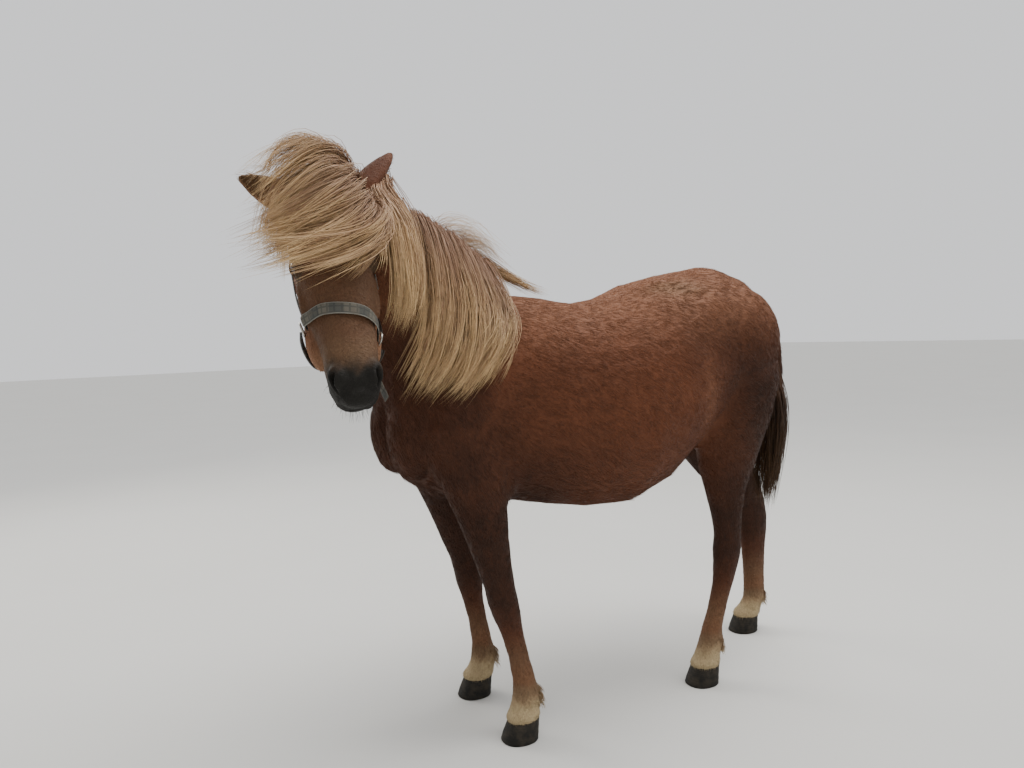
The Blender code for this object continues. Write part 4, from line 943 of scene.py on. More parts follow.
@dataclass(frozen=True)
class EyeFinish:
    """A dark wet eye: brown iris, level pupil and a glossy front."""

    name: str = "eye_dark_brown"

    def build(self) -> Material:
        """The material. The UV map Front gives the offset from the eye's axis.

        Returns:
            The material.
        """
        wet = {"Roughness": 0.06, "Coat Weight": 1.0, "Coat Roughness": 0.02}
        made, n, shader = principled(self.name, wet)
        lie = n.add("ShaderNodeUVMap", uv_map="Front")
        middle = n.add("ShaderNodeMapping", {"Vector": lie.outputs["UV"], "Location": (-0.5, -0.5, 0.0)})
        reach = n.add("ShaderNodeVectorMath", {0: middle.outputs["Vector"]}, operation="LENGTH")
        squash = n.add("ShaderNodeMapping", {"Vector": middle.outputs["Vector"], "Scale": (0.6, 1.25, 1.0)})
        pupil = n.add("ShaderNodeVectorMath", {0: squash.outputs["Vector"]}, operation="LENGTH")
        iris = n.mix(n.ramp(n.noise(420.0, 3.0), 0.3, 0.7), (0.03, 0.013, 0.006), (0.105, 0.045, 0.018))
        base = n.mix(n.ramp(pupil.outputs["Value"], 0.115, 0.15), (0.003, 0.003, 0.004), iris)
        white = n.mix(n.ramp(reach.outputs["Value"], 0.4, 0.47), base, (0.15, 0.095, 0.07))
        n.feed(shader.inputs["Base Color"], white)
        return made


HAIR_FINISH = HairFinish(
    "flaxen_hair",
    root=(0.27, 0.13, 0.078),
    middle=(0.52, 0.33, 0.192),
    tip=(0.82, 0.575, 0.29),
    shade=(0.25, 0.13, 0.072),
)
TAIL_FINISH = HairFinish(
    "tail_hair",
    root=(0.17, 0.07, 0.03),
    middle=(0.034, 0.016, 0.0085),
    tip=(0.088, 0.044, 0.017),
    shade=(0.012, 0.007, 0.005),
    roughness=0.62,
    gloss=0.15,
)
STRAP_FINISH = PlainFinish("dark_strap", (0.022, 0.02, 0.019), (0.11, 0.095, 0.075), 0.58, scale=90.0)
STEEL_FINISH = PlainFinish("dull_steel", (0.52, 0.505, 0.47), (0.21, 0.17, 0.125), 0.3, 1.0, 120.0, 0.6, 0.15)


# The flesh, as the solids have it

# Forelegs as level sections: height, left middle, right middle, half length, half width, how far out
FORELEGS = (
    (0.7, -0.445, -0.445, 0.11, 0.06, 0.112),
    (0.6, -0.428, -0.42, 0.086, 0.06, 0.12),
    (0.525, -0.416, -0.4, 0.064, 0.052, 0.126),
    (0.458, -0.403, -0.382, 0.051, 0.044, 0.128),
    (0.4, -0.391, -0.367, 0.043, 0.037, 0.129),
    (0.35, -0.379, -0.352, 0.0375, 0.034, 0.129),
    (0.318, -0.373, -0.345, 0.0375, 0.036, 0.129),
    (0.288, -0.366, -0.341, 0.0355, 0.034, 0.129),
    (0.245, -0.354, -0.334, 0.029, 0.024, 0.129),
    (0.19, -0.34, -0.323, 0.0265, 0.02, 0.129),
    (0.13, -0.328, -0.313, 0.0285, 0.022, 0.13),
    (0.092, -0.324, -0.31, 0.0345, 0.029, 0.131),
    (0.068, -0.331, -0.318, 0.035, 0.0325, 0.131),
    (0.052, -0.335, -0.327, 0.0415, 0.04, 0.132),
    (0.039, -0.339, -0.331, 0.035, 0.034, 0.132),
    (0.029, -0.342, -0.334, 0.031, 0.03, 0.132),
)

# A hind leg the same way, with one middle
LEFT_HIND = (
    (0.93, 0.325, 0.06, 0.03, 0.09),
    (0.85, 0.336, 0.122, 0.074, 0.105),
    (0.75, 0.318, 0.13, 0.084, 0.116),
    (0.67, 0.302, 0.117, 0.08, 0.119),
    (0.6, 0.285, 0.098, 0.07, 0.118),
    (0.54, 0.277, 0.078, 0.06, 0.116),
    (0.48, 0.275, 0.057, 0.047, 0.114),
    (0.42, 0.279, 0.045, 0.036, 0.112),
    (0.375, 0.282, 0.041, 0.031, 0.111),
    (0.335, 0.28, 0.044, 0.032, 0.11),
    (0.295, 0.275, 0.0385, 0.03, 0.11),
    (0.245, 0.263, 0.031, 0.025, 0.11),
    (0.19, 0.244, 0.028, 0.022, 0.11),
    (0.135, 0.225, 0.03, 0.0235, 0.11),
    (0.095, 0.216, 0.0355, 0.029, 0.111),
    (0.068, 0.205, 0.035, 0.0325, 0.111),
    (0.052, 0.198, 0.0415, 0.04, 0.112),
    (0.039, 0.195, 0.035, 0.034, 0.112),
    (0.029, 0.19, 0.031, 0.03, 0.112),
)
RIGHT_HIND = (
    (0.93, 0.33, 0.06, 0.03, 0.09),
    (0.85, 0.338, 0.118, 0.072, 0.104),
    (0.75, 0.35, 0.142, 0.084, 0.116),
    (0.67, 0.365, 0.138, 0.08, 0.119),
    (0.6, 0.393, 0.122, 0.074, 0.118),
    (0.54, 0.434, 0.109, 0.062, 0.116),
    (0.48, 0.478, 0.1, 0.05, 0.114),
    (0.42, 0.526, 0.078, 0.039, 0.112),
    (0.375, 0.556, 0.06, 0.034, 0.111),
    (0.335, 0.568, 0.053, 0.034, 0.11),
    (0.295, 0.571, 0.0485, 0.031, 0.11),
    (0.245, 0.57, 0.043, 0.0275, 0.11),
    (0.19, 0.57, 0.0385, 0.0245, 0.11),
    (0.135, 0.57, 0.036, 0.0245, 0.11),
    (0.095, 0.571, 0.0355, 0.029, 0.111),
    (0.068, 0.552, 0.035, 0.0325, 0.111),
    (0.052, 0.54, 0.0415, 0.04, 0.112),
    (0.039, 0.535, 0.035, 0.034, 0.112),
    (0.029, 0.53, 0.031, 0.03, 0.112),
)
# The mane's lie on the left of the neck: paths in the side view, (y, z), from the crest to the tips
MANE_GUIDES = (
    ((-0.345, 1.04), (-0.345, 1.078), (-0.335, 1.01), (-0.328, 0.96), (-0.345, 0.905), (-0.385, 0.85),
     (-0.43, 0.8)),
    ((-0.385, 1.062), (-0.382, 1.105), (-0.372, 1.03), (-0.365, 0.96), (-0.385, 0.89), (-0.43, 0.825),
     (-0.475, 0.785)),
    ((-0.43, 1.098), (-0.425, 1.142), (-0.418, 1.06), (-0.41, 0.97), (-0.428, 0.885), (-0.468, 0.81),
     (-0.51, 0.772)),
    ((-0.475, 1.128), (-0.468, 1.17), (-0.462, 1.085), (-0.458, 0.985), (-0.478, 0.885), (-0.515, 0.815),
     (-0.548, 0.775)),
    ((-0.52, 1.15), (-0.51, 1.194), (-0.502, 1.105), (-0.505, 1.0), (-0.53, 0.9), (-0.558, 0.84),
     (-0.575, 0.805)),
)

# The same for the shorter hair that falls to the right
RIGHT_GUIDES = (
    ((-0.3, 0.995), (-0.302, 1.034), (-0.325, 0.985), (-0.348, 0.925), (-0.372, 0.88)),
    ((-0.39, 1.06), (-0.39, 1.102), (-0.405, 1.04), (-0.425, 0.96), (-0.45, 0.89)),
    ((-0.48, 1.125), (-0.48, 1.164), (-0.492, 1.095), (-0.512, 1.01), (-0.535, 0.94)),
    ((-0.555, 1.16), (-0.555, 1.2), (-0.57, 1.13), (-0.59, 1.05), (-0.61, 0.985)),
)

# The forelock, blown across the face to the pony's right: side, front and down from the poll
FORELOCK_GUIDES = (
    ((0.026, -0.034, -0.004), (0.04, -0.016, -0.07), (0.01, 0.004, -0.118), (-0.03, 0.014, -0.128),
     (-0.072, 0.02, -0.112), (-0.112, 0.022, -0.078), (-0.16, 0.022, -0.036)),
    ((0.034, -0.034, 0.004), (0.052, -0.002, -0.052), (0.024, 0.028, -0.086), (-0.02, 0.04, -0.084),
     (-0.066, 0.042, -0.058), (-0.108, 0.038, -0.02), (-0.152, 0.028, 0.026)),
    ((0.038, -0.036, 0.016), (0.062, 0.012, -0.02), (0.038, 0.048, -0.022), (-0.012, 0.06, 0.004),
     (-0.066, 0.056, 0.038), (-0.122, 0.048, 0.074), (-0.176, 0.036, 0.104)),
    ((0.04, -0.038, 0.025), (0.07, 0.016, 0.008), (0.06, 0.054, 0.03), (0.02, 0.066, 0.062),
     (-0.04, 0.062, 0.09), (-0.108, 0.054, 0.116), (-0.18, 0.042, 0.14)),
    ((0.04, -0.04, 0.03), (0.077, 0.012, 0.036), (0.082, 0.044, 0.082), (0.052, 0.06, 0.122),
     (-0.006, 0.062, 0.146), (-0.086, 0.056, 0.164), (-0.176, 0.046, 0.176)),
    ((0.04, -0.045, 0.03), (0.081, 0.004, 0.046), (0.094, 0.028, 0.092), (0.084, 0.042, 0.132),
     (0.044, 0.05, 0.162), (-0.018, 0.05, 0.182), (-0.096, 0.044, 0.194)),
    ((0.04, -0.048, 0.03), (0.08, -0.006, 0.04), (0.097, 0.014, 0.085), (0.102, 0.018, 0.12),
     (0.098, 0.014, 0.146), (0.09, 0.014, 0.168), (0.078, 0.016, 0.188)),
)
RIGHT_FORELOCK_GUIDES = (
    ((-0.014, -0.04, 0.035), (-0.034, 0.026, 0.004), (-0.076, 0.036, 0.04), (-0.096, 0.032, 0.095),
     (-0.108, 0.014, 0.14), (-0.114, 0.0, 0.17)),
    ((-0.014, -0.036, 0.03), (-0.03, 0.016, -0.026), (-0.088, 0.024, -0.01), (-0.116, 0.014, 0.05),
     (-0.13, 0.006, 0.095), (-0.136, -0.006, 0.13)),
)

# Loose hair that stands on the crest, and the lock that lies back over the withers: x, y, z
CREST_GUIDES = (
    ((0.0, -0.445, 1.08), (0.004, -0.446, 1.135), (0.0, -0.408, 1.158), (-0.002, -0.36, 1.156),
     (-0.004, -0.318, 1.125), (-0.004, -0.302, 1.085)),
    ((0.0, -0.41, 1.06), (0.004, -0.412, 1.112), (0.0, -0.372, 1.132), (-0.003, -0.33, 1.116),
     (-0.005, -0.296, 1.082), (-0.006, -0.276, 1.05)),
    ((0.0, -0.38, 1.04), (0.003, -0.384, 1.09), (0.0, -0.345, 1.098), (-0.003, -0.306, 1.076),
     (-0.004, -0.27, 1.05), (-0.006, -0.24, 1.03)),
)
TRAIL_GUIDES = (
    ((0.0, -0.405, 1.05), (0.01, -0.405, 1.098), (0.01, -0.345, 1.077), (0.006, -0.28, 1.045),
     (0.004, -0.212, 1.014), (0.002, -0.15, 0.994)),
    ((0.0, -0.37, 1.03), (0.0, -0.372, 1.078), (-0.004, -0.322, 1.058), (-0.006, -0.262, 1.032),
     (-0.008, -0.205, 1.01), (-0.01, -0.16, 0.996)),
)

# Hair from behind the left ear, falling between the cheek and the neck: x, y, z
EAR_SIDE_GUIDES = (
    ((0.02, -0.545, 1.14), (0.05, -0.562, 1.212), (0.105, -0.56, 1.182), (0.14, -0.55, 1.112),
     (0.153, -0.548, 1.04), (0.158, -0.562, 0.97), (0.158, -0.595, 0.915)),
    ((0.03, -0.56, 1.14), (0.065, -0.578, 1.218), (0.125, -0.586, 1.194), (0.163, -0.58, 1.124),
     (0.174, -0.573, 1.045), (0.176, -0.581, 0.975), (0.172, -0.604, 0.92)),
    ((0.04, -0.575, 1.14), (0.082, -0.602, 1.218), (0.143, -0.617, 1.193), (0.18, -0.612, 1.127),
     (0.194, -0.606, 1.05), (0.198, -0.606, 0.98), (0.192, -0.618, 0.93)),
)
TRUNK = (
    # y, top, bottom, half width, squareness, lower width
    (-0.575, 0.775, 0.64, 0.08, 2.0, 1.0),
    (-0.545, 0.85, 0.585, 0.122, 2.1, 1.0),
    (-0.48, 0.915, 0.54, 0.152, 2.2, 1.0),
    (-0.39, 0.975, 0.515, 0.168, 2.2, 1.05),
    (-0.3, HEIGHT_AT_WITHERS, 0.512, 0.182, 2.1, 1.16),
    (-0.21, 0.992, 0.493, 0.206, 2.1, 1.14),
    (-0.11, 0.974, 0.476, 0.232, 2.15, 1.08),
    (-0.01, 0.99, 0.472, 0.243, 2.2, 1.05),
    (0.09, 1.026, 0.508, 0.24, 2.25, 1.0),
    (0.19, 1.052, 0.578, 0.225, 2.25, 0.95),
    (0.285, HEIGHT_AT_CROUP + 0.009, 0.63, 0.21, 2.2, 0.92),
    (0.37, 1.04, 0.66, 0.186, 2.15, 0.95),
    (0.44, 0.985, 0.69, 0.142, 2.1, 1.0),
    (0.488, 0.922, 0.74, 0.096, 2.0, 1.0),
    (0.512, 0.88, 0.79, 0.05, 2.0, 1.0),
)
SKULL = (
    # down, front, back, half width, squareness, width of the jaw side against the face side
    (-0.02, -0.022, -0.09, 0.04, 2.0, 1.0),
    (0.005, -0.004, -0.118, 0.054, 2.1, 1.0),
    (0.04, 0.008, -0.148, 0.066, 2.2, 0.92),
    (0.085, 0.014, -0.176, 0.079, 2.3, 0.82),
    (0.125, 0.015, -0.188, 0.086, 2.3, 0.74),
    (0.165, 0.01, -0.188, 0.0855, 2.3, 0.72),
    (0.205, 0.004, -0.172, 0.0815, 2.3, 0.72),
    (0.245, 0.0, -0.148, 0.0745, 2.3, 0.73),
    (0.285, -0.002, -0.124, 0.064, 2.3, 0.78),
    (0.325, -0.003, -0.108, 0.056, 2.3, 0.86),
    (0.36, -0.005, -0.104, 0.053, 2.3, 0.91),
    (0.39, -0.012, -0.106, 0.0515, 2.3, 0.92),
    (0.412, -0.026, -0.104, 0.043, 2.2, 0.9),
    (HEAD_LENGTH, -0.046, -0.092, 0.028, 2.0, 0.9),
)
EAR_PROFILE = (
    # share of the length, half width, half depth, how far round the shell reaches in degrees
    (-0.12, 0.02, 0.02, 176.0),
    (0.06, 0.024, 0.0208, 172.0),
    (0.18, 0.0265, 0.0205, 160.0),
    (0.35, 0.0285, 0.019, 142.0),
    (0.58, 0.025, 0.016, 130.0),
    (0.78, 0.0175, 0.0115, 134.0),
    (0.92, 0.009, 0.007, 150.0),
    (1.0, 0.0032, 0.0032, 170.0),
)
HOLLOWS = (
    # on which sides; how far out, y and z; radii; depth, where less than 0 is a dip
    ((1,), (0.0, 0.185, 1.05), (0.05, 0.07, 0.05), -0.006),
    ((1, -1), (0.07, 0.06, 1.01), (0.02, 0.16, 0.05), 0.003),
    ((1, -1), (0.19, 0.17, 0.86), (0.05, 0.07, 0.06), -0.009),
    ((1, -1), (0.105, -0.52, 0.83), (0.04, 0.05, 0.11), -0.004),
    ((1,), (0.0, -0.6, 0.7), (0.022, 0.04, 0.09), -0.006),
    ((1, -1), (0.165, -0.32, 0.76), (0.05, 0.035, 0.14), -0.005),
    ((1,), (0.12, 0.4, 0.65), (0.06, 0.02, 0.13), -0.005),
    ((-1,), (0.12, 0.47, 0.65), (0.06, 0.02, 0.13), -0.005),
)
FACE_HOLLOWS = (
    # on both sides of the head: side, front and down; radii; depth
    ((0.052, 0.0, 0.085), (0.014, 0.03, 0.014), -0.003),
    ((0.06, -0.02, 0.255), (0.02, 0.03, 0.035), -0.004),
    ((0.05, -0.078, 0.262), (0.03, 0.01, 0.05), -0.0025),
    ((0.026, -0.01, 0.33), (0.012, 0.02, 0.04), -0.0018),
)


def ear_frame(side: int) -> tuple[Vector, Vector, Vector, Vector]:
    """Root point and axes of an ear: out of the cup's side, across it, and up to the tip.

    Args:
        side: 1 on the left and -1 on the right.

    Returns:
        The root and the three axes.
    """
    root = on_head(0.06 if side > 0 else -0.05, -0.048, -0.008)
    if side > 0:
        up = (-DOWN * 0.76 + SIDE * 0.66 + FRONT * 0.06).normalized()
        opening = (-FRONT * 0.75 + SIDE * 0.65).normalized()
    else:
        up = (-DOWN * 0.5 - SIDE * 0.86 + FRONT * 0.06).normalized()
        opening = (FRONT * 0.75 - SIDE * 0.15 + DOWN * 0.25).normalized()
    across = up.cross(opening).normalized()
    return root, across.cross(up).normalized(), across, up


def eye_axes(side: int) -> tuple[Vector, Vector, Vector]:
    """Axes of an eye's opening: along it towards the nose, across it, and out.

    Args:
        side: 1 on the left and -1 on the right.

    Returns:
        The three axes.
    """
    out = (SIDE * side * 0.93 + FRONT * 0.37).normalized()
    along = (DOWN * 0.9 - FRONT * 0.44).normalized()
    over = out.cross(along).normalized()
    return over.cross(out).normalized(), over, out


def coat_depth(points: np.ndarray) -> np.ndarray:
    """How far the skin lies inside the solids, which reach to the coat's tips.

    Args:
        points: Places in the design frame, a row each.

    Returns:
        The depth at each point.
    """
    on = smoothstep(-0.02, 0.03, past_neck(points))
    z = points[:, 2]
    body = 0.0014 + 0.0014 * smoothstep(0.08, 0.3, z) + 0.0022 * smoothstep(0.4, 0.65, z)
    return body * (1 - on) + 0.0018 * on


@dataclass
class Flesh:
    """The one skin under the coat, from the nose to the dock.

    Attributes:
        voxel: Grain of the remesh that melts the forms into one.
        triangles: How many faces the skin keeps before its finer places.
    """

    voxel: float = 0.0028
    triangles: int = 135_000

    def trunk(self) -> list[Object]:
        """Barrel, neck and the root of the tail.

        Returns:
            The three forms.
        """
        barrel = [((0, y, top), (0, y, low), *rest) for y, top, low, *rest in TRUNK]
        neck = (
            ((0.0, -0.2, 0.975), (0.0, -0.43, 0.6), 0.15),
            ((0.0, -0.3, 1.003), (0.0, -0.555, 0.7), 0.128),
            ((-0.003, -0.385, 1.062), (0.0, -0.605, 0.79), 0.108),
            ((-0.003, -0.455, 1.118), (-0.004, -0.632, 0.87), 0.095),
            ((0.008, -0.535, 1.163), (-0.008, -0.652, 0.935), 0.087),
            ((0.035, -0.615, 1.188), (-0.008, -0.676, 0.985), 0.081),
            ((0.072, -0.68, 1.196), on_head(-0.004, -0.196, 0.078), 0.076),
            (on_head(0, -0.03, -0.01), on_head(0, -0.182, 0.1), 0.07),
            (on_head(0, -0.015, 0.03), on_head(0, -0.16, 0.13), 0.062),
        )
        dock = (
            ((0, 0.455, 0.978), (0, 0.435, 0.905), 0.034),
            ((0, 0.507, 0.955), (0, 0.475, 0.89), 0.031),
            ((0, 0.55, 0.912), (0, 0.508, 0.868), 0.028),
            ((0, 0.582, 0.85), (0, 0.532, 0.835), 0.026),
            ((0, 0.588, 0.77), (0, 0.54, 0.765), 0.026),
            ((0, 0.58, 0.69), (0, 0.536, 0.688), 0.022),
        )
        return [
            limb_of("barrel", barrel, 36),
            limb_of("neck", [(*s, 2.2, 1.0) for s in neck], 32),
            limb_of("dock", [(*s, 2.2, 1.0) for s in dock], 20),
        ]

    def legs(self) -> list[Object]:
        """Four legs, down into the hooves.

        Returns:
            The four forms.
        """
        made = []
        for name, side, table in (
            ("fore_left", 1, [(z, left, *sizes) for z, left, _, *sizes in FORELEGS]),
            ("fore_right", -1, [(z, right, *sizes) for z, _, right, *sizes in FORELEGS]),
            ("hind_left", 1, LEFT_HIND),
            ("hind_right", -1, RIGHT_HIND),
        ):
            levels = []
            for z, y, long, wide, x in table:
                levels.append(((side * x, y - long, z), (side * x, y + long, z), wide, 2.0, 1.0))
            made.append(limb_of(name, levels, 24))
        return made

    def muscles(self) -> list[Object]:
        """Shoulders, breast, haunches, stifles, elbows and hocks.

        Returns:
            The forms.
        """
        lean = Matrix.Rotation(math.radians(-32), 3, "X")
        back = Matrix.Rotation(math.radians(24), 3, "X")
        made = []
        for side in (1, -1):
            made += [
                mass("shoulder", (side * 0.118, -0.415, 0.775), (0.06, 0.085, 0.17), lean),
                mass("breast", (side * 0.06, -0.538, 0.695), (0.066, 0.062, 0.105)),
                mass("elbow", (side * 0.118, -0.37, 0.575), (0.04, 0.046, 0.054)),
                mass("throat", (side * 0.04, -0.56, 0.79), (0.06, 0.04, 0.09)),
                mass("haunch", (side * 0.114, 0.3, 0.86), (0.094, 0.155, 0.15), back),
                mass("buttock", (side * 0.078, 0.372 - side * 0.004, 0.8), (0.082, 0.102, 0.14)),
                mass("hip", (side * 0.135, 0.215, 0.93), (0.062, 0.085, 0.07)),
            ]
        made.append(mass("stifle", (0.122, 0.236, 0.655), (0.056, 0.06, 0.105)))
        made.append(mass("stifle", (-0.122, 0.289, 0.682), (0.056, 0.062, 0.096)))
        made.append(mass("hock", (0.11, 0.296, 0.4), (0.019, 0.024, 0.075)))
        made.append(mass("hock", (-0.111, 0.573, 0.412), (0.02, 0.034, 0.078)))
        return made

    def skull(self) -> list[Object]:
        """The head with its brows, cheeks, nostril rims, lips and chin.

        Returns:
            The forms.
        """
        levels = []
        for down, front, back, *rest in SKULL:
            levels.append((on_head(0, front, down), on_head(0, back, down), *rest))
        made = [limb_of("skull", levels, 36)]
        forms = []
        for side in (1, -1):
            forms += [
                ("jowl", (side * 0.046, -0.118, 0.125), (0.027, 0.062, 0.066)),
                ("brow", (side * 0.054, -0.02, 0.118), (0.032, 0.026, 0.037)),
                ("cheekbone", (side * 0.067, -0.052, 0.2), (0.0115, 0.0115, 0.06)),
                ("lids", (side * EYE_SIDE, EYE_FRONT, EYE_DOWN), (0.0232, 0.0232, 0.0232)),
                ("nostril", (side * 0.031, -0.026, 0.373), (0.02, 0.022, 0.028)),
                ("poll", (side * 0.03, -0.038, 0.008), (0.03, 0.036, 0.034)),
                ("lower_cheek", (side * 0.048, -0.095, 0.266), (0.026, 0.027, 0.07)),
            ]
        forms += [
            ("upper_lip", (0, -0.048, 0.408), (0.036, 0.03, 0.024)),
            ("lower_lip", (0, -0.086, 0.396), (0.028, 0.022, 0.022)),
            ("chin", (0, -0.104, 0.372), (0.024, 0.019, 0.022)),
        ]
        return made + [mass(name, on_head(*at), radii, HEAD_AXES) for name, at, radii in forms]

    def ear(self, side: int) -> Object:
        """An ear: a curled leaf with a thin wall, open in front and rolled shut at its root.

        Args:
            side: 1 on the left and -1 on the right.

        Returns:
            The form.
        """
        root, opening, across, up = ear_frame(side)
        stretch = 1.19 if side > 0 else 0.91
        corners = 14
        rings = []
        for share, wide, deep, reach in EAR_PROFILE:
            middle = root + up * (EAR_LENGTH * stretch * share) + opening * (0.01 * share * share)
            wide, deep = wide * 1.13 + 0.001, deep * 1.06 + 0.001
            wall = min(0.0046, deep * 0.75)
            turns = [math.radians(reach) * (2 * i / (corners - 1) - 1) for i in range(corners)]
            ring = []
            for turn in turns:
                ring.append(middle + across * (wide * math.sin(turn)) - opening * (deep * math.cos(turn)))
            wide, deep = wide - wall, deep - wall
            for turn in reversed(turns):
                ring.append(middle + across * (wide * math.sin(turn)) - opening * (deep * math.cos(turn)))
            rings.append(ring)
        return loft("ear", rings)

    def melt(self) -> Object:
        """All forms as one closed surface, drawn in by the coat's depth.

        Returns:
            The skin.
        """
        forms = self.trunk() + self.legs() + self.muscles() + self.skull() + [self.ear(1), self.ear(-1)]
        skin = join(forms, "skin")
        modify(skin, "REMESH", mode="VOXEL", voxel_size=self.voxel * 1.0)
        modify(skin, "SMOOTH", factor=0.5, iterations=7)
        apply_all(skin)
        self.soften(skin)
        points = coordinates(skin)
        set_coordinates(skin, points - vertex_normals(skin) * coat_depth(points)[:, None])
        skin.data.calc_loop_triangles()
        ratio = min(1.0, self.triangles / len(skin.data.loop_triangles))
        modify(skin, "DECIMATE", ratio=ratio, use_collapse_triangulate=True)
        return apply_all(skin)

    def soften(self, skin: Object) -> None:
        """More smoothing on the body and legs than on the head.

        Args:
            skin: The skin.
        """
        weights = np.clip(smoothstep(0.02, -0.05, past_neck(coordinates(skin))), 0, 1)
        body = skin.vertex_groups.new(name="body")
        steps = 4
        levels = np.round(weights * steps).astype(int)
        for level in range(1, steps + 1):
            body.add(np.nonzero(levels == level)[0].tolist(), level / steps, "REPLACE")
        modify(skin, "SMOOTH", factor=0.5, iterations=46, vertex_group="body")
        apply_all(skin)
        skin.vertex_groups.clear()

    def finer(self, skin: Object, centres: Sequence[Vector], reach: float, cuts: int) -> None:
        """Splits and evens the faces near some places.

        Args:
            skin: The skin.
            centres: The places.
            reach: How near a face has to be.
            cuts: How often an edge is cut.
        """
        points = coordinates(skin)
        near = np.zeros(len(points), bool)
        for centre in centres:
            near |= distance(points, centre) < reach
        select_vertices(skin, near)
        bpy.ops.mesh.subdivide(number_cuts=cuts)
        bpy.ops.mesh.vertices_smooth(factor=0.5, repeat=2)
        bpy.ops.object.mode_set(mode="OBJECT")

    def eyes(self, skin: Object) -> None:
        """Sockets, lids and their folds.

        Args:
            skin: The skin.
        """
        points = coordinates(skin)
        for side in (1, -1):
            centre = np.array(eye_centre(side))
            along, over, out = (np.array(axis) for axis in eye_axes(side))
            away = points - centre
            near = (np.linalg.norm(away, axis=1) < 0.046) & (away @ out > 0.0)
            u = (away @ along) / 0.0172
            v = (away @ over) / 0.0098
            v = np.where(v > 0, v * 0.92, v * 1.12)
            q = np.sqrt(u**2 + (v * (1 + 0.45 * np.clip(np.abs(u), 0, 1.2) ** 2)) ** 2)
            socket, rim = EYE_RADIUS - 0.0016, EYE_RADIUS + 0.0024
            lid, fold = EYE_RADIUS + 0.004, EYE_RADIUS + 0.0022
            heights = [socket, socket, rim, lid, lid - 0.0006, fold, fold + 0.0025]
            goal = np.interp(q, [0.0, 0.93, 1.02, 1.22, 1.42, 1.62, 1.85], heights)
            share = np.where(q < 1.45, 1.0, smoothstep(2.15, 1.45, q)) * near
            moved = centre + unit(away) * goal[:, None]
            points = points + (moved - points) * share[:, None]
            ridge = bell(q, 2.3, 0.32) * near * (away @ over > 0)
            points = points + unit(away) * (0.0014 * ridge)[:, None]
            crease = bell(q, 1.95, 0.1) * near
            points = points - unit(away) * (0.0011 * crease)[:, None]
        set_coordinates(skin, points)

    def nostrils(self, skin: Object) -> None:
        """Comma-shaped nostrils with a raised rim.

        Args:
            skin: The skin.
        """
        points = coordinates(skin)
        for side in (1, -1):
            along = (DOWN * 0.86 - FRONT * 0.5).normalized()
            out = (SIDE * side * 0.72 + FRONT * 0.52 + DOWN * 0.3).normalized()
            over = along.cross(out).normalized()
            out = over.cross(along).normalized()
            away = points - np.array(nostril_centre(side))
            near = np.linalg.norm(away, axis=1) < 0.04
            u = (away @ np.array(along)) / 0.0205
            bend = (away @ np.array(over)) - 0.0045 * (1 - u**2)
            v = bend / (0.0074 * (1 - 0.3 * np.clip(u, -1, 1)))
            q = np.sqrt(u**2 + v**2)
            sink = 0.015 * smoothstep(1.02, 0.35, q) * near
            raised = 0.0019 * bell(q, 1.35, 0.3) * near
            points = points + np.array(out) * (raised - sink)[:, None]
        set_coordinates(skin, points)

    def mouth(self, skin: Object) -> None:
        """The line between the lips, with a fold at its corners.

        Args:
            skin: The skin.
        """
        tree = BVHTree.FromObject(skin, bpy.context.evaluated_depsgraph_get())
        line = []
        for turn in (math.pi * i / 60 for i in range(61)):
            forward = math.sin(turn) ** 0.7
            place = on_head(math.cos(turn) * 0.055, -0.07 - 0.004 * forward, 0.345 + 0.088 * forward)
            line.append(list(tree.find_nearest(place)[0]))
        line = np.array(line)
        points, normals = coordinates(skin), vertex_normals(skin)
        near = np.nonzero(distance(points, line.mean(axis=0)) < 0.11)[0]
        gap = np.linalg.norm(points[near, None, :] - line[None], axis=2).min(axis=1)
        lift = 0.0011 * bell(gap, 0.0052, 0.003) - 0.0042 * bell(gap, 0.0, 0.0014)
        points[near] += normals[near] * lift[:, None]
        set_coordinates(skin, points)

    def hollows(self, skin: Object) -> None:
        """Shallow dips and swells that the joined forms lack, and the coronets drawn into the hooves.

        Args:
            skin: The skin.
        """
        points, normals = coordinates(skin), vertex_normals(skin)
        move = np.zeros(len(points))
        for sides, (out, y, z), radii, depth in HOLLOWS:
            for side in sides:
                move += depth * mound(points, (side * out, y, z), radii)
        for side in (1, -1):
            fold = points[:, 2] - (0.999 + 0.01 * np.sin((points[:, 1] - 0.05) * 39.3))
            near = np.exp(-(((points[:, 1] - 0.13) / 0.06) ** 4)) * (points[:, 0] * side > 0.03)
            move += 0.0045 * near * bell(fold, 0.0, 0.006) - 0.007 * near * bell(fold, -0.013, 0.009)
        local = head_measures(points)
        for side in (1, -1):
            for (out, front, down), radii, depth in FACE_HOLLOWS:
                move += depth * mound(local, (side * out, front, down), radii)
        z = points[:, 2]
        move -= 0.005 * smoothstep(0.046, 0.039, z)
        trunk = smoothstep(0.45, 0.6, z)
        move += 0.0011 * ripple(points, 34.0, 1.0) * trunk + 0.0005 * ripple(points, 90.0, 3.0)
        set_coordinates(skin, points + normals * move[:, None])

    def build(self) -> Object:
        """The finished skin with its markings, painted shade and painted light.

        Returns:
            The skin, in the design frame.
        """
        skin = self.melt()
        eyes = [eye_centre(side) + eye_axes(side)[2] * 0.02 for side in (1, -1)]
        self.finer(skin, eyes, 0.038, 2)
        muzzle = [on_head(side * 0.03, -0.05, 0.395) for side in (1, -1)]
        self.finer(skin, muzzle, 0.062, 1)
        self.hollows(skin)
        self.eyes(skin)
        self.nostrils(skin)
        self.mouth(skin)
        # Markings with painted shade and painted light, a colour on each vertex
        store(skin, "mark_and_light", "FLOAT_COLOR", marks_and_painted_light(coordinates(skin)))
        return shaded(skin)


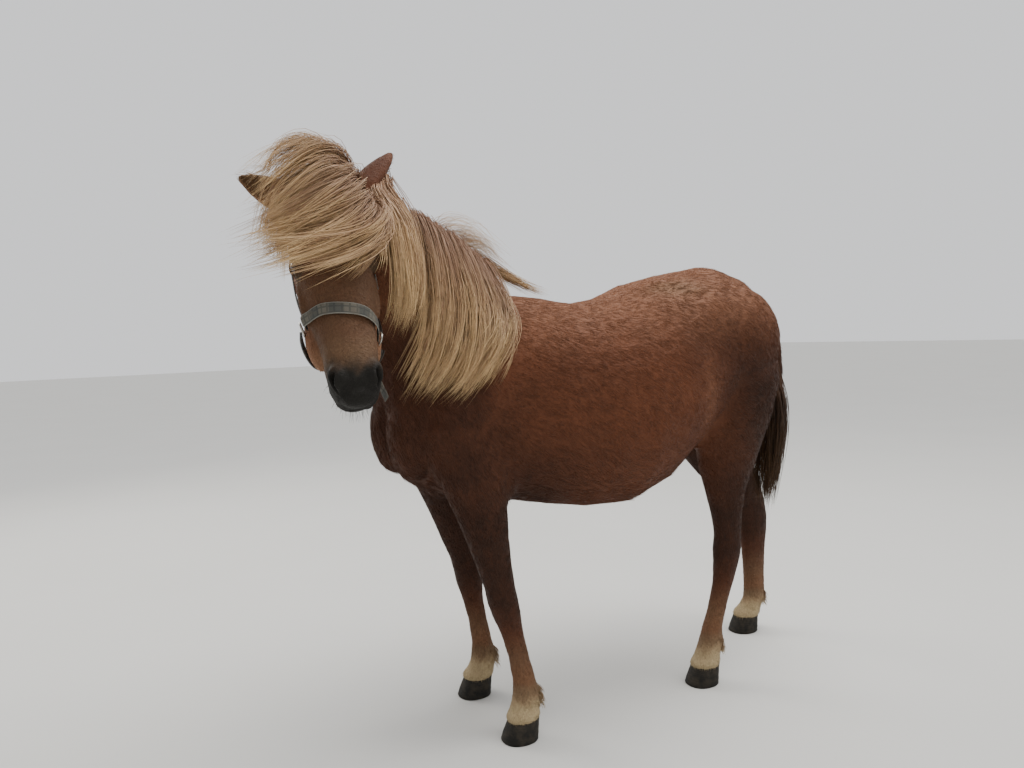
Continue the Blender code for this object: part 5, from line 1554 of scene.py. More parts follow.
@dataclass
class Eyeball:
    """One eye, glossy and slightly domed in front."""

    side: int

    def build(self) -> Object:
        """The eyeball, with a UV map of its front.

        Returns:
            The eye, in the design frame.
        """
        name = "eyeball_left" if self.side > 0 else "eyeball_right"
        sizes = {"segments": 48, "ring_count": 32, "radius": EYE_RADIUS}
        made = primitive(bpy.ops.mesh.primitive_uv_sphere_add, name, **sizes)
        along, over, out = eye_axes(self.side)
        points = coordinates(made)
        dome = bell(np.linalg.norm(points[:, :2], axis=1), 0.0, 0.011) * (points[:, 2] > 0)
        points = points * (1 + 0.045 * dome)[:, None]
        set_coordinates(made, points)
        front = points[:, :2] / (2 * EYE_RADIUS) + 0.5
        behind = points[:, 2] < 0
        front[behind] = 0.5 + unit(front[behind] - 0.5) * 0.5
        store_uv(made, "Front", front)
        axes = Matrix((along, over, out)).transposed().to_4x4()
        made.data.transform(Matrix.Translation(eye_centre(self.side)) @ axes)
        if axes.determinant() < 0:
            made.data.flip_normals()
        return shaded(made)


HOOF_LEVELS = (
    # height, how far the middle has moved back, half length, half width
    (0.0, 0.0, 0.04, 0.0385),
    (0.0022, 0.0008, 0.0408, 0.0393),
    (0.008, 0.002, 0.0402, 0.0387),
    (0.014, 0.0036, 0.0395, 0.0381),
    (0.02, 0.005, 0.0385, 0.0372),
    (0.029, 0.008, 0.0368, 0.0358),
    (0.037, 0.0102, 0.0355, 0.0347),
    (0.044, 0.0124, 0.0343, 0.0337),
    (0.048, 0.0136, 0.0336, 0.0331),
    (0.0515, 0.0146, 0.0315, 0.0313),
    (0.053, 0.015, 0.027, 0.027),
)


@dataclass
class Hoof:
    """One hoof: a leaning wall with faint rings, a coronet band and a dished sole.

    Attributes:
        name: The piece's name.
        side: 1 on the left and -1 on the right.
        middle: The middle of its bearing edge, along the pony.
        out: How far out it stands.
    """

    name: str
    side: int
    middle: float
    out: float

    def build(self) -> Object:
        """The hoof, standing on the floor.

        Returns:
            The hoof, in the design frame.
        """
        rings = []
        across = Vector((1, 0, 0))
        for i, (z, lean, long, wide) in enumerate(HOOF_LEVELS):
            swell = 0.00025 * (1 if i % 2 else -1)
            y = self.middle + lean
            top = Vector((self.side * self.out, y - long - swell, z))
            low = Vector((self.side * self.out, y + long + swell, z))
            rings.append(section(top, low, wide + swell, across, 40, 2.25, 1.0))
        made = loft(self.name, rings)
        points = coordinates(made)
        select_vertices(made, points[:, 2] < 0.0001)
        bpy.ops.mesh.select_mode(type="FACE")
        bpy.ops.mesh.inset(thickness=0.007)
        bpy.ops.transform.translate(value=(0, 0, 0.0035))
        turn_outward()
        return shaded(made, 50)


# The halter


def lay_on_node(made: Object, node: str) -> Object:
    """Moves a piece from the origin onto a CAD node, along the node's long and wide directions.

    Args:
        made: The piece.
        node: The node's name.

    Returns:
        The same piece.
    """
    points = coordinates(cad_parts[node])
    points = np.unique(np.round(points, 6), axis=0) - np.array(SETTLE)
    middle = (points.min(axis=0) + points.max(axis=0)) / 2
    _, _, axes = np.linalg.svd(points - points.mean(axis=0), full_matrices=False)
    long, wide = Vector(axes[0]), Vector(axes[1])
    turn = Matrix((long, wide, long.cross(wide))).transposed().to_4x4()
    made.data.transform(Matrix.Translation(Vector(middle)) @ turn)
    return made


@dataclass
class Strap:
    """A flat strap laid over the head, bending with what is under it.

    Attributes:
        name: The piece's name.
        node: The CAD node that it stands for.
        woven: Whether it is webbing.
        path: What its middle runs through, in the head's measures.
        stations: How many cross-sections it has.
        width: Its width.
        thickness: Its thickness.
        clear: How far its inner face keeps from the skin.
        hub: The point that it goes round, in the head's measures, or None for the head's middle line.
    """

    name: str
    node: str
    woven: bool
    path: Sequence[tuple]
    stations: int
    width: float
    thickness: float
    clear: float
    hub: tuple | None = None

    def outward(self, point: Vector) -> Vector:
        """The way from what the strap goes round to a point.

        Args:
            point: A place on the strap.

        Returns:
            The way, not scaled.
        """
        if self.hub is not None:
            return point - on_head(*self.hub)
        down = (point - POLL).dot(DOWN)
        return point - on_head(0, -0.095 + 0.06 * max(0.0, down - 0.18), down)

    def height(self, point: Vector, out: Vector, ground: BVHTree | None) -> float:
        """How far out the ground lies over a point of the strap.

        Args:
            point: A place on the strap.
            out: The way out from the head.
            ground: The surface that it lies on, or None for a free strap.

        Returns:
            The height, in metres.
        """
        if ground is None:
            return 0.0
        start = 0.035
        found = ground.ray_cast(point + out * start, -out, 0.1)
        return start - found[3] if found[0] is not None else -0.02

    def build(self, ground: BVHTree | None) -> Object:
        """The strap as one closed body with a UV map along it.

        Args:
            ground: The surface that it lies on, or None for a free strap.

        Returns:
            The strap, in the design frame.
        """
        line = smooth_path([on_head(*row) for row in self.path], self.stations)
        shares = np.linspace(-0.5, 0.5, 7)
        frames, heights = [], []
        for i, place in enumerate(line):
            point = Vector(place)
            along = Vector(line[min(i + 1, len(line) - 1)] - line[max(i - 1, 0)]).normalized()
            out = self.outward(point).normalized()
            out = (out - along * out.dot(along)).normalized()
            across = along.cross(out).normalized()
            frames.append((point, out, across))
            row = [point + across * (self.width * share) for share in shares]
            heights.append([self.height(spot, out, ground) for spot in row])
        table = np.array(heights)
        table = 0.55 * table.max(axis=1, keepdims=True) + 0.45 * table
        for _ in range(3):
            inner = table.copy()
            inner[1:-1] = (table[:-2] + 2 * table[1:-1] + table[2:]) / 4
            table = np.maximum(inner, table - 0.0006)
        rings = []
        for (point, out, across), row in zip(frames, table):
            low, high = [], []
            for k, share in enumerate(shares):
                base = point + across * (self.width * share) + out * (row[k] + self.clear)
                edge = 0.3 if k in (0, 6) else 0.0
                low.append(base + out * (self.thickness * edge))
                high.append(base + out * (self.thickness * (1.0 - edge)))
            rings.append(low + high[::-1])
        made = loft(self.name, rings)
        self.lie(made, line)
        return shaded(made, 45)

    def lie(self, made: Object, line: np.ndarray) -> None:
        """The UV map Strap: strap widths along, and 0 to 1 across.

        Args:
            made: The piece.
            line: The strap's middle line.
        """
        gone = np.concatenate([[0.0], np.cumsum(np.linalg.norm(np.diff(line, axis=0), axis=1))]) / self.width
        points = coordinates(made)
        nearest = np.linalg.norm(points[:, None, :] - line[None], axis=2).argmin(axis=1)
        ahead = unit(np.gradient(line, axis=0))
        along = gone[nearest] + ((points - line[nearest]) * ahead[nearest]).sum(axis=1) / self.width
        across = np.empty(len(points))
        for i, place in enumerate(line):
            mine = nearest == i
            way = Vector(ahead[i])
            out = self.outward(Vector(place))
            out = (out - way * out.dot(way)).normalized()
            across[mine] = (points[mine] - place) @ np.array(way.cross(out).normalized()) / self.width + 0.5
        store_uv(made, "Strap", np.stack([along, across], axis=1))


@dataclass
class Halter:
    """Noseband, headpiece, chin strap and fittings.

    Attributes:
        wide: Width of the noseband.
        narrow: Width of the other straps.
    """

    wide: float = 0.024
    narrow: float = 0.018

    def straps(self) -> list[Strap]:
        """Every strap, from the noseband to the strap end that hangs down.

        Returns:
            The straps, in order.
        """
        over_nose = ((0.086, -0.066, 0.288), (0.078, -0.03, 0.276), (0.05, 0.006, 0.262), (0.0, 0.012, 0.252),
                     (-0.05, 0.006, 0.246), (-0.078, -0.03, 0.246), (-0.086, -0.066, 0.246))
        crown = ((0.069, -0.083, -0.001), (0.05, -0.08, -0.03), (0.0, -0.07, -0.05),
                 (-0.05, -0.08, -0.03), (-0.069, -0.083, -0.001))
        jaw = ((0.078, -0.108, 0.3), (0.062, -0.12, 0.322), (0.036, -0.132, 0.338), (0.0, -0.138, 0.344),
               (-0.036, -0.134, 0.338), (-0.062, -0.126, 0.318), (-0.076, -0.117, 0.29),
               (-0.082, -0.108, 0.264), (-0.084, -0.099, 0.246))
        tab = ((0.058, -0.127, 0.316), (0.057, -0.129, 0.338), (0.057, -0.123, 0.362), (0.062, -0.11, 0.398))
        narrow = self.narrow
        made = [Strap("noseband", "halter_noseband", True, over_nose, 56, self.wide, 0.0034, 0.0036)]
        for side, word, low in ((1, "left", 0.29), (-1, "right", 0.248)):
            cheek = ((side * 0.08, -0.094, low - 0.022), (side * 0.086, -0.098, 0.19),
                     (side * 0.09, -0.098, 0.13), (side * 0.09, -0.094, 0.075),
                     (side * 0.08, -0.088, 0.03), (side * 0.072, -0.084, 0.008))
            name, node = f"cheek_strap_{word}", f"halter_cheek_{word}"
            made.append(Strap(name, node, False, cheek, 44, narrow, 0.003, 0.003))
        return made + [
            Strap("crown_strap", "halter_crown", False, crown, 36, narrow, 0.003, 0.003, (0, -0.08, 0.03)),
            Strap("chin_strap", "halter_chin_strap", False, jaw, 56, narrow, 0.0046, 0.0042, (0, -0.07, 0.3)),
            Strap("strap_end", "halter_strap_end", True, tab, 20, narrow, 0.0028, 0.0, (0, -0.1, 0.36)),
        ]

    def ring(self, word: str) -> Object:
        """A round steel ring where three straps meet.

        Args:
            word: The side's name.

        Returns:
            The ring, in the design frame.
        """
        sizes = {"major_radius": 0.013, "minor_radius": 0.0022, "major_segments": 48, "minor_segments": 14}
        made = primitive(bpy.ops.mesh.primitive_torus_add, f"halter_steel_ring_{word}", **sizes)
        return shaded(lay_on_node(made, f"halter_ring_{word}"))

    def buckle(self) -> Object:
        """A rectangular frame with a middle bar and a tongue.

        Returns:
            The buckle, in the design frame.
        """
        long, wide, wire = 0.034, 0.026, 0.003
        rim = primitive(bpy.ops.mesh.primitive_plane_add, "rim", size=1.0)
        rim.data.transform(Matrix.Diagonal(Vector((long, wide, 1.0))).to_4x4())
        edit_all()
        bpy.ops.mesh.inset(thickness=wire)
        bpy.ops.mesh.delete(type="FACE")
        bpy.ops.object.mode_set(mode="OBJECT")
        modify(rim, "SOLIDIFY", thickness=wire, offset=0.0)
        pieces = [rim]
        for name, centre, size in (
            ("bar", (0.0, 0.0, 0.0), (wire * 0.9, wide - wire, wire * 0.9)),
            ("tongue", (long * 0.24, 0.0, wire * 0.62), (long * 0.5, wire * 0.72, wire * 0.6)),
        ):
            rod = primitive(bpy.ops.mesh.primitive_cube_add, name, size=1.0)
            rod.data.transform(Matrix.Translation(Vector(centre)) @ Matrix.Diagonal(Vector(size)).to_4x4())
            pieces.append(rod)
        for piece in pieces:
            modify(piece, "BEVEL", width=0.0008, segments=3)
            apply_all(piece)
        return shaded(lay_on_node(join(pieces, "halter_steel_buckle"), "halter_buckle"), 40)


# Hair: tapered locks of three sides, made many at once

# Side of the patch that each lock has on the unwrap, and how finely guides are sampled
PATCH = 0.003
SAMPLES = 24

@dataclass
class Fell:
    """Many like locks or tufts, and the mesh that they become.

    Attributes:
        paths: Places along each lock, root first: lock, station, axis.
        outs: The direction that each lock's back faces, a lock or a lock and station.
        widths: Full width of each lock.
        thickness: Thickness against width.
        lots: A number from 0 to 1 for each lock.
        homes: Place of each lock's root on the unwrap of the skin.
    """

    paths: np.ndarray
    outs: np.ndarray
    widths: np.ndarray
    thickness: float
    lots: np.ndarray
    homes: np.ndarray

    def build(self, name: str, marks_and_light: bool = False) -> Object:
        """The locks as one mesh.

        Args:
            name: The piece's name.
            marks_and_light: Whether each lock carries the markings, painted shade and painted light of its
                root.

        Returns:
            The piece, in the design frame.
        """
        count, stations = self.paths.shape[:2]
        along = unit(np.gradient(self.paths, axis=1))
        outs = self.outs if self.outs.ndim == 3 else self.outs[:, None, :]
        outs = np.broadcast_to(outs, self.paths.shape)
        across = unit(np.cross(along, outs))
        backs = unit(np.cross(across, along))
        share = np.linspace(0, 1, stations)
        size = np.interp(share, [0, 0.25, 0.6, 0.85, 1.0], [0.62, 1.0, 0.9, 0.55, 0.06])
        half = (self.widths[:, None] * size[None] / 2)[..., None]
        rings = []
        for turn in (math.pi / 2, math.pi * 7 / 6, math.pi * 11 / 6):
            flat = across * half * math.cos(turn) * 1.15
            rings.append(self.paths + flat + backs * half * math.sin(turn) * self.thickness)
        body = np.stack(rings, axis=2)[:, :-1].reshape(count, -1, 3)
        points = np.concatenate([body, self.paths[:, -1:]], axis=1)
        each = points.shape[1]
        faces = [(2, 1, 0)]
        for level in range(stations - 2):
            low, high = level * 3, level * 3 + 3
            for k in range(3):
                j = (k + 1) % 3
                faces += [(low + k, low + j, high + j), (low + k, high + j, high + k)]
        top = (stations - 2) * 3
        faces += [(top + k, top + (k + 1) % 3, each - 1) for k in range(3)]
        pattern = np.array(faces)
        corners = (pattern[None] + (np.arange(count) * each)[:, None, None]).reshape(-1)
        mesh = bpy.data.meshes.new(name)
        mesh.vertices.add(count * each)
        mesh.vertices.foreach_set("co", points.astype(np.float32).ravel())
        mesh.loops.add(len(corners))
        mesh.loops.foreach_set("vertex_index", corners.astype(np.int32))
        mesh.polygons.add(len(corners) // 3)
        mesh.polygons.foreach_set("loop_start", np.arange(0, len(corners), 3, dtype=np.int32))
        mesh.polygons.foreach_set("use_smooth", np.ones(len(corners) // 3, bool))
        mesh.update(calc_edges=True)
        mesh.validate()
        made = bpy.data.objects.new(name, mesh)
        bpy.context.scene.collection.objects.link(made)
        grade = np.concatenate([np.repeat(share[:-1], 3), [1.0]])
        store(made, "along", "FLOAT", np.tile(grade, count))
        store(made, "lot", "FLOAT", np.repeat(self.lots, each))
        # Each tuft takes the markings, painted shade and painted light of its root
        if marks_and_light:
            store(made, "mark_and_light", "FLOAT_COLOR", np.repeat(marks_and_painted_light(self.paths[:, 0]), each, axis=0))
        around = np.concatenate([np.tile([0.0, 0.5, 1.0], stations - 1), [0.5]])
        patch = np.stack([around, grade], axis=1) * PATCH
        store_uv(made, "OFBake", (self.homes[:, None, :] + patch[None]).reshape(-1, 2))
        return made


def pushed_out(
    paths: np.ndarray, ground: BVHTree, clear: float, rng: np.random.Generator, first: int = 2
) -> np.ndarray:
    """Locks moved out of what is under them.

    Args:
        paths: The locks' places.
        ground: The surface that they lie on.
        clear: How far their middles keep from it.
        rng: The seeded draw.
        first: The first station that may move.

    Returns:
        The moved places.
    """
    moved = paths.copy()
    room = clear * rng.uniform(1.0, 2.2, len(paths))
    for i in range(len(paths)):
        for k in range(first, paths.shape[1]):
            point = Vector(moved[i, k])
            near, normal, _, _ = ground.find_nearest(point, 0.06)
            if near is not None and (point - near).dot(normal) < room[i]:
                moved[i, k] = near + normal * room[i]
    inner = moved.copy()
    inner[:, 1:-1] = (moved[:, :-2] + 2 * moved[:, 1:-1] + moved[:, 2:]) / 4
    return inner


def unwrap_grid(keys: np.ndarray, second: np.ndarray) -> np.ndarray:
    """Places for many roots on an unwrap of the strip of skin that they grow from.

    Args:
        keys: How far along the strip each root is.
        second: How far across it each root is.

    Returns:
        A place of its own in the unit square for each root, in the same order along and across.
    """
    count = len(keys)
    rows = int(math.ceil(math.sqrt(count)))
    order = np.argsort(keys, kind="stable")
    column = np.empty(count, int)
    column[order] = np.arange(count) // rows
    row = np.empty(count, int)
    for k in range(rows + 1):
        mine = np.nonzero(column == k)[0]
        row[mine[np.argsort(second[mine], kind="stable")]] = np.arange(len(mine))
    return np.stack([column / (rows + 1), row / (rows + 1)], axis=1) * 0.985 + 0.004


@dataclass
class Locks:
    """Long hair grown in clumps between guides.

    Attributes:
        name: The piece's name.
        clumps: How many clumps there are.
        each: Strands in a clump.
        spread: How far strands stand from the middle of a clump.
        width: Width of a strand.
        stations: Places along a strand.
        gather: How far the tips stand apart against the roots.
        seed: The draw's seed.
        wander: How far clumps leave their guides at the tips.
        short: The shortest strand against the longest.
    """

    name: str
    clumps: int
    each: int
    spread: float
    width: float
    stations: int
    gather: float
    seed: int
    wander: float = 0.012
    short: float = 0.72

    def grow(
        self, sheets: Sequence[np.ndarray], ground: BVHTree, away: Callable, clear: float = 0.003
    ) -> Object:
        """The locks of one growth.

        Args:
            sheets: One or more layers of guides: guide, station, axis.
            ground: The surface under the hair.
            away: Gives the direction that the hair's back faces, from places.
            clear: How far strands keep from the ground.

        Returns:
            The piece, in the design frame.
        """
        rng = np.random.default_rng(self.seed)
        clumps, each = ((self.clumps, self.each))
        fine = [np.stack([smooth_path(guide, SAMPLES) for guide in sheet]) for sheet in sheets]
        share = (np.arange(clumps) + rng.uniform(0.0, 1.0, clumps)) / clumps
        layer = rng.uniform(0, 1, clumps)
        middle = self.between(fine, share, layer)
        s = np.linspace(0, 1, SAMPLES)
        drift = rng.normal(0, 1, (clumps, 1, 3)) * self.wander * (s**1.3)[None, :, None]
        bend = np.sin(s * math.pi * 1.6)[None, :, None]
        sway = rng.normal(0, 1, (clumps, 1, 3)) * self.wander * 0.45 * bend
        middle = middle + drift + sway
        gather = np.interp(s, [0, 0.3, 0.75, 1.0], [0.9, 1.15, 0.8, self.gather])
        offset = rng.normal(0, 1, (clumps, each, 1, 3)) * self.spread * gather[None, None, :, None]
        stray = (rng.uniform(0, 1, (clumps, each, 1, 1)) > 0.9) * rng.normal(0, 1, (clumps, each, 1, 3))
        offset = offset + stray * self.spread * 2.2 * (s**1.5)[None, None, :, None]
        wave = rng.uniform(0, 2 * math.pi, (clumps, 1, 1, 3))
        turns = rng.uniform(1.0, 2.4, (clumps, 1, 1, 1))
        far = s[None, None, :, None]
        offset = offset + np.sin(far * turns * 2 * math.pi + wave) * self.spread * 0.28 * far
        strands = (middle[:, None] + offset).reshape(-1, SAMPLES, 3)
        strands = self.cut(strands, rng.uniform(self.short, 1.0, len(strands)))
        strands = pushed_out(strands, ground, clear, rng)
        count = len(strands)
        lots = np.repeat(rng.uniform(0, 1, clumps), each) * 0.75 + rng.uniform(0, 0.3, count)
        homes = unwrap_grid(np.repeat(share, each), rng.uniform(0, 1, count))
        widths = self.width * rng.uniform(0.65, 1.25, count)
        return Fell(strands, away(strands), widths, 0.55, np.clip(lots, 0, 1), homes).build(self.name)

    def between(self, sheets: list[np.ndarray], share: np.ndarray, layer: np.ndarray) -> np.ndarray:
        """Paths between neighbouring guides and layers.

        Args:
            sheets: One or two layers of guides.
            share: How far from the first guide to the last each path is, from 0 to 1.
            layer: How far from the first layer to the second each path is.

        Returns:
            The paths.
        """
        count = len(sheets[0]) - 1
        place = np.clip(share * count, 0, count - 1e-6)
        low = place.astype(int)
        part = (place - low)[:, None, None]
        rows = [sheet[low] * (1 - part) + sheet[low + 1] * part for sheet in sheets]
        if len(rows) == 1:
            return rows[0]
        mix = layer[:, None, None]
        return rows[0] * (1 - mix) + rows[1] * mix

    def cut(self, strands: np.ndarray, reach: np.ndarray) -> np.ndarray:
        """Strands of the given shares of their length, at this piece's stations.

        Args:
            strands: The strands' places.
            reach: The share of its length that each strand keeps.

        Returns:
            The shorter strands.
        """
        goal = np.linspace(0, 1, self.stations)[None] * reach[:, None] * (SAMPLES - 1)
        low = np.clip(goal.astype(int), 0, SAMPLES - 2)
        part = (goal - low)[..., None]
        rows = np.arange(len(strands))[:, None]
        return strands[rows, low] * (1 - part) + strands[rows, low + 1] * part


def facing(way: Sequence[float]) -> Callable:
    """Gives a function that turns every place of some paths the same way."""

    def turned(paths: np.ndarray) -> np.ndarray:
        """The one direction, for each place."""
        return unit(np.broadcast_to(np.array(way), paths.shape))

    return turned


def round_face(paths: np.ndarray) -> np.ndarray:
    """Directions out from the middle of the face."""
    return unit(paths - np.array(on_head(*FACE_MIDDLE)))


def round_dock(paths: np.ndarray) -> np.ndarray:
    """Level directions out from the line down the middle of the tail."""
    return unit((paths - np.array([0, 0.565, 0])) * np.array([1.0, 1.0, 0.0]) + 1e-6)


FACE_MIDDLE = (-0.01, -0.06, 0.08)


@dataclass
class Hair:
    """The mane, forelock, tail, fetlocks and whiskers.

    Attributes:
        ground: The skin's surface.
    """

    ground: BVHTree

    def drape(self, side: int, y: float, z: float, lift: float) -> Vector:
        """A place over the side of the neck, by its height and how far back it is.

        Args:
            side: 1 on the left and -1 on the right.
            y: How far back the place is.
            z: Its height.
            lift: How far it stands off the neck.

        Returns:
            The place.
        """
        found = self.ground.ray_cast(Vector((side * 0.6, y, z)), Vector((-side, 0, 0)), 0.6)
        reach = abs(found[0].x) if found[0] is not None else 0.03
        return Vector((side * (reach + lift), y, z))

    def side_sheet(self, side: int, guides: Sequence[Sequence[tuple]], lift: float) -> np.ndarray:
        """Guides over one side of the neck at one height above it.

        Args:
            side: 1 on the left and -1 on the right.
            guides: The guides' tables.
            lift: How far it stands off the neck.

        Returns:
            The sheet: guide, station, axis.
        """
        sheet = []
        for guide in guides:
            row = [Vector((side * 0.004, guide[0][0], guide[0][1] - 0.004))]
            row.append(Vector((side * (0.014 + lift * 0.45), guide[1][0], guide[1][1] - 0.004)))
            for k, (y, z) in enumerate(guide[2:]):
                row.append(self.drape(side, y, z, lift * (1.15 if k == 0 else 1.0)))
            sheet.append(row)
        return np.array([[list(p) for p in row] for row in sheet])

    def head_sheet(self, guides: Sequence[Sequence[tuple]], scale: float) -> np.ndarray:
        """Guides given by the head's measures, drawn in towards the head for a lower layer.

        Args:
            guides: The guides' tables.
            scale: The layer's size against the guides.

        Returns:
            The sheet: guide, station, axis.
        """
        middle = on_head(*FACE_MIDDLE)
        rows = []
        for guide in guides:
            row = [on_head(*p) for p in guide]
            rows.append([list(p if k == 0 else middle + (p - middle) * scale) for k, p in enumerate(row)])
        return np.array(rows)

    def mane(self) -> list[Object]:
        """The mane on both sides, the hair behind the left ear and the tuft on the crest.

        Returns:
            The pieces, in the design frame.
        """
        left = [self.side_sheet(1, MANE_GUIDES, 0.006), self.side_sheet(1, MANE_GUIDES, 0.03)]
        right = [self.side_sheet(-1, RIGHT_GUIDES, 0.005), self.side_sheet(-1, RIGHT_GUIDES, 0.018)]
        ear_side, crest, trail = ([np.array(g)] for g in (EAR_SIDE_GUIDES, CREST_GUIDES, TRAIL_GUIDES))
        leftward, rightward = facing((1.0, 0.0, 0.35)), facing((-1.0, 0.0, 0.35))
        above = facing((0.1, 0.5, 0.85))
        made = []
        for locks, sheets, away in (
            (Locks("mane_left", 128, 22, 0.0052, 0.0017, 13, 0.6, 11, 0.013, 0.68), left, leftward),
            (Locks("mane_right", 84, 20, 0.0056, 0.0018, 11, 0.6, 12, 0.012, 0.55), right, rightward),
            (Locks("mane_behind_ear", 54, 22, 0.0056, 0.0019, 13, 0.5, 13, 0.01), ear_side, leftward),
            (Locks("mane_crest", 30, 10, 0.0085, 0.0012, 11, 1.35, 14, 0.02, 0.45), crest, above),
            (Locks("mane_over_withers", 18, 18, 0.0048, 0.0017, 11, 0.6, 15, 0.006, 0.6), trail, above),
        ):
            made.append(locks.grow(sheets, self.ground, away))
        return made

    def forelock(self) -> list[Object]:
        """The forelock, blown across the face, and its thinner part on the right.

        Returns:
            The pieces, in the design frame.
        """
        full = [self.head_sheet(FORELOCK_GUIDES, 0.8), self.head_sheet(FORELOCK_GUIDES, 1.02)]
        right = [self.head_sheet(RIGHT_FORELOCK_GUIDES, 0.82), self.head_sheet(RIGHT_FORELOCK_GUIDES, 1.0)]
        made = []
        for locks, sheets in (
            (Locks("forelock", 128, 22, 0.0056, 0.0016, 13, 1.05, 21, 0.015, 0.52), full),
            (Locks("forelock_right", 26, 18, 0.006, 0.0018, 11, 0.8, 22, 0.012, 0.62), right),
        ):
            made.append(locks.grow(sheets, self.ground, round_face, 0.004))
        return made

    def tail(self) -> Object:
        """The tail: hair from all round the dock that closes to a loose tip above the hocks.

        Returns:
            The piece, in the design frame.
        """
        outline = ((0.84, 0.526, 0.012), (0.77, 0.53, 0.022), (0.68, 0.536, 0.04), (0.56, 0.528, 0.041),
                   (0.392, 0.508, 0.014))
        layers = []
        for scale in (0.35, 1.0):
            sheet = []
            for turn in np.radians(np.linspace(-50, 230, 15)):
                deep = 0.8 if math.sin(turn) > 0 else 0.45
                out = Vector((math.cos(turn) * 1.2, math.sin(turn) * deep, 0))
                row = [Vector((0, 0.516, 0.872)) + out * 0.006]
                row += [Vector((0, y, z)) + out * (spread * scale) for z, y, spread in outline]
                sheet.append([list(p) for p in row])
            layers.append(np.array(sheet))
        locks = Locks("tail_locks", 90, 22, 0.0054, 0.0021, 14, 0.6, 31, 0.009, 0.6)
        return locks.grow(layers, self.ground, round_dock, 0.002)

    def fetlocks(self) -> Object:
        """The tufts behind the fetlocks.

        Returns:
            The piece, in the design frame.
        """
        rng = np.random.default_rng(41)
        paths, keys = [], []
        legs = ((1, -0.324, 0.131), (-1, -0.31, 0.131), (1, 0.216, 0.111), (-1, 0.571, 0.111))
        for side, middle, out in legs:
            for _ in range(170):
                turn = rng.normal(0, 0.55)
                z = rng.uniform(0.078, 0.118)
                root = Vector((side * out + math.sin(turn) * 0.02, middle + 0.022 * math.cos(turn), z))
                length = rng.uniform(0.016, 0.036) * math.cos(turn * 0.8)
                drop = Vector((math.sin(turn) * 0.3 + rng.normal(0, 0.1), 0.8 * math.cos(turn), -0.85))
                drop, bend, path = drop.normalized(), Vector((0, 0.012, 0)), []
                for t in np.linspace(0, 1, 6):
                    p = root + drop * (length * t) + bend * (t * (1 - t) * 1.6)
                    path.append([p.x, p.y, max(p.z, 0.046)])
                paths.append(path)
                keys.append(root.y * 3 + root.x + z)
        strands = pushed_out(np.array(paths), self.ground, 0.0012, rng, 1)
        count = len(strands)
        outs = unit(np.tile([0.0, 1.0, 0.25], (count, 1)))
        homes = unwrap_grid(np.array(keys), rng.uniform(0, 1, count))
        widths, lots = rng.uniform(0.0014, 0.0026, count), rng.uniform(0, 1, count)
        return Fell(strands, outs, widths, 0.6, lots, homes).build("fetlock_tufts", True)

    def whiskers(self) -> Object:
        """Long stiff hairs on the lips and chin, lashes over the eyes and fringes in the ears.

        Returns:
            The piece, in the design frame.
        """
        rng = np.random.default_rng(51)
        paths, outs, widths = [], [], []

        def hair(root: Vector, way: Vector, length: float, sag: float, width: float) -> None:
            """Adds one hair that leaves its root a way and hangs by a sag at its tip."""
            fall = Vector((0, 0, -sag))
            steps = [root + way * (length * t) + fall * t * t for t in np.linspace(0, 1, 6)]
            paths.append([list(p) for p in steps])
            outs.append(list(way.orthogonal().normalized()))
            widths.append(width)

        for _ in range(110):
            place = on_head(rng.uniform(-0.036, 0.036), rng.uniform(-0.125, -0.055), rng.uniform(0.355, 0.44))
            near, normal, _, _ = self.ground.find_nearest(place)
            way = (normal + DOWN * 0.45 + Vector(rng.normal(0, 0.22, 3))).normalized()
            hair(near, way, rng.uniform(0.008, 0.026), 0.005, 0.0005)
        for side in (1, -1):
            along, over, out = eye_axes(side)
            centre = eye_centre(side)
            for _ in range(46):
                share = rng.uniform(-0.95, 0.75)
                rise = 0.01 * math.sqrt(max(0.0, 1 - share * share))
                root = centre + along * (share * 0.0165) + over * (rise * 1.02)
                root = centre + (root - centre + out * 0.018).normalized() * (EYE_RADIUS + 0.0034)
                way = out * 0.9 + over * 0.55 - along * share * 0.15 + Vector(rng.normal(0, 0.1, 3))
                hair(root, way.normalized(), rng.uniform(0.008, 0.015), 0.003, 0.00065)
            root, opening, across, up = ear_frame(side)
            for _ in range(260):
                share = rng.uniform(0.02, 0.85)
                turn = rng.choice([-1, 1])
                wide = np.interp(share, [0, 0.35, 0.58, 0.8, 1.0], [0.022, 0.0265, 0.023, 0.0145, 0.003])
                place = root + up * (EAR_LENGTH * share) + across * (turn * wide * 0.9)
                place = place + opening * rng.uniform(0.004, 0.015)
                near, _, _, _ = self.ground.find_nearest(place, 0.03)
                if near is None:
                    continue
                way = opening * 0.7 - across * turn * 0.75 + up * 0.7 + Vector(rng.normal(0, 0.25, 3))
                hair(near, way.normalized(), rng.uniform(0.008, 0.02), 0.0, 0.0011)
        strands = np.array(paths)
        lots = rng.uniform(0, 1, len(paths))
        homes = unwrap_grid(strands[:, 0, 1] + strands[:, 0, 2], strands[:, 0, 0])
        return Fell(strands, np.array(outs), np.array(widths), 0.8, lots, homes).build("fine_hairs", True)


class Region(IntEnum):
    """Fields of the short coat, each a piece of its own that is called after it."""

    HEAD = 0
    NECK = 1
    SHOULDER_LEFT = 2
    SHOULDER_RIGHT = 3
    BARREL_LEFT = 4
    BARREL_RIGHT = 5
    QUARTER_LEFT = 6
    QUARTER_RIGHT = 7
    FORELEGS = 8
    HINDLEGS = 9


# Tufts wished for on a square metre of each field
TUFTS = np.array([78000, 60000, 50000, 50000, 50000, 50000, 50000, 50000, 60000, 60000.0])


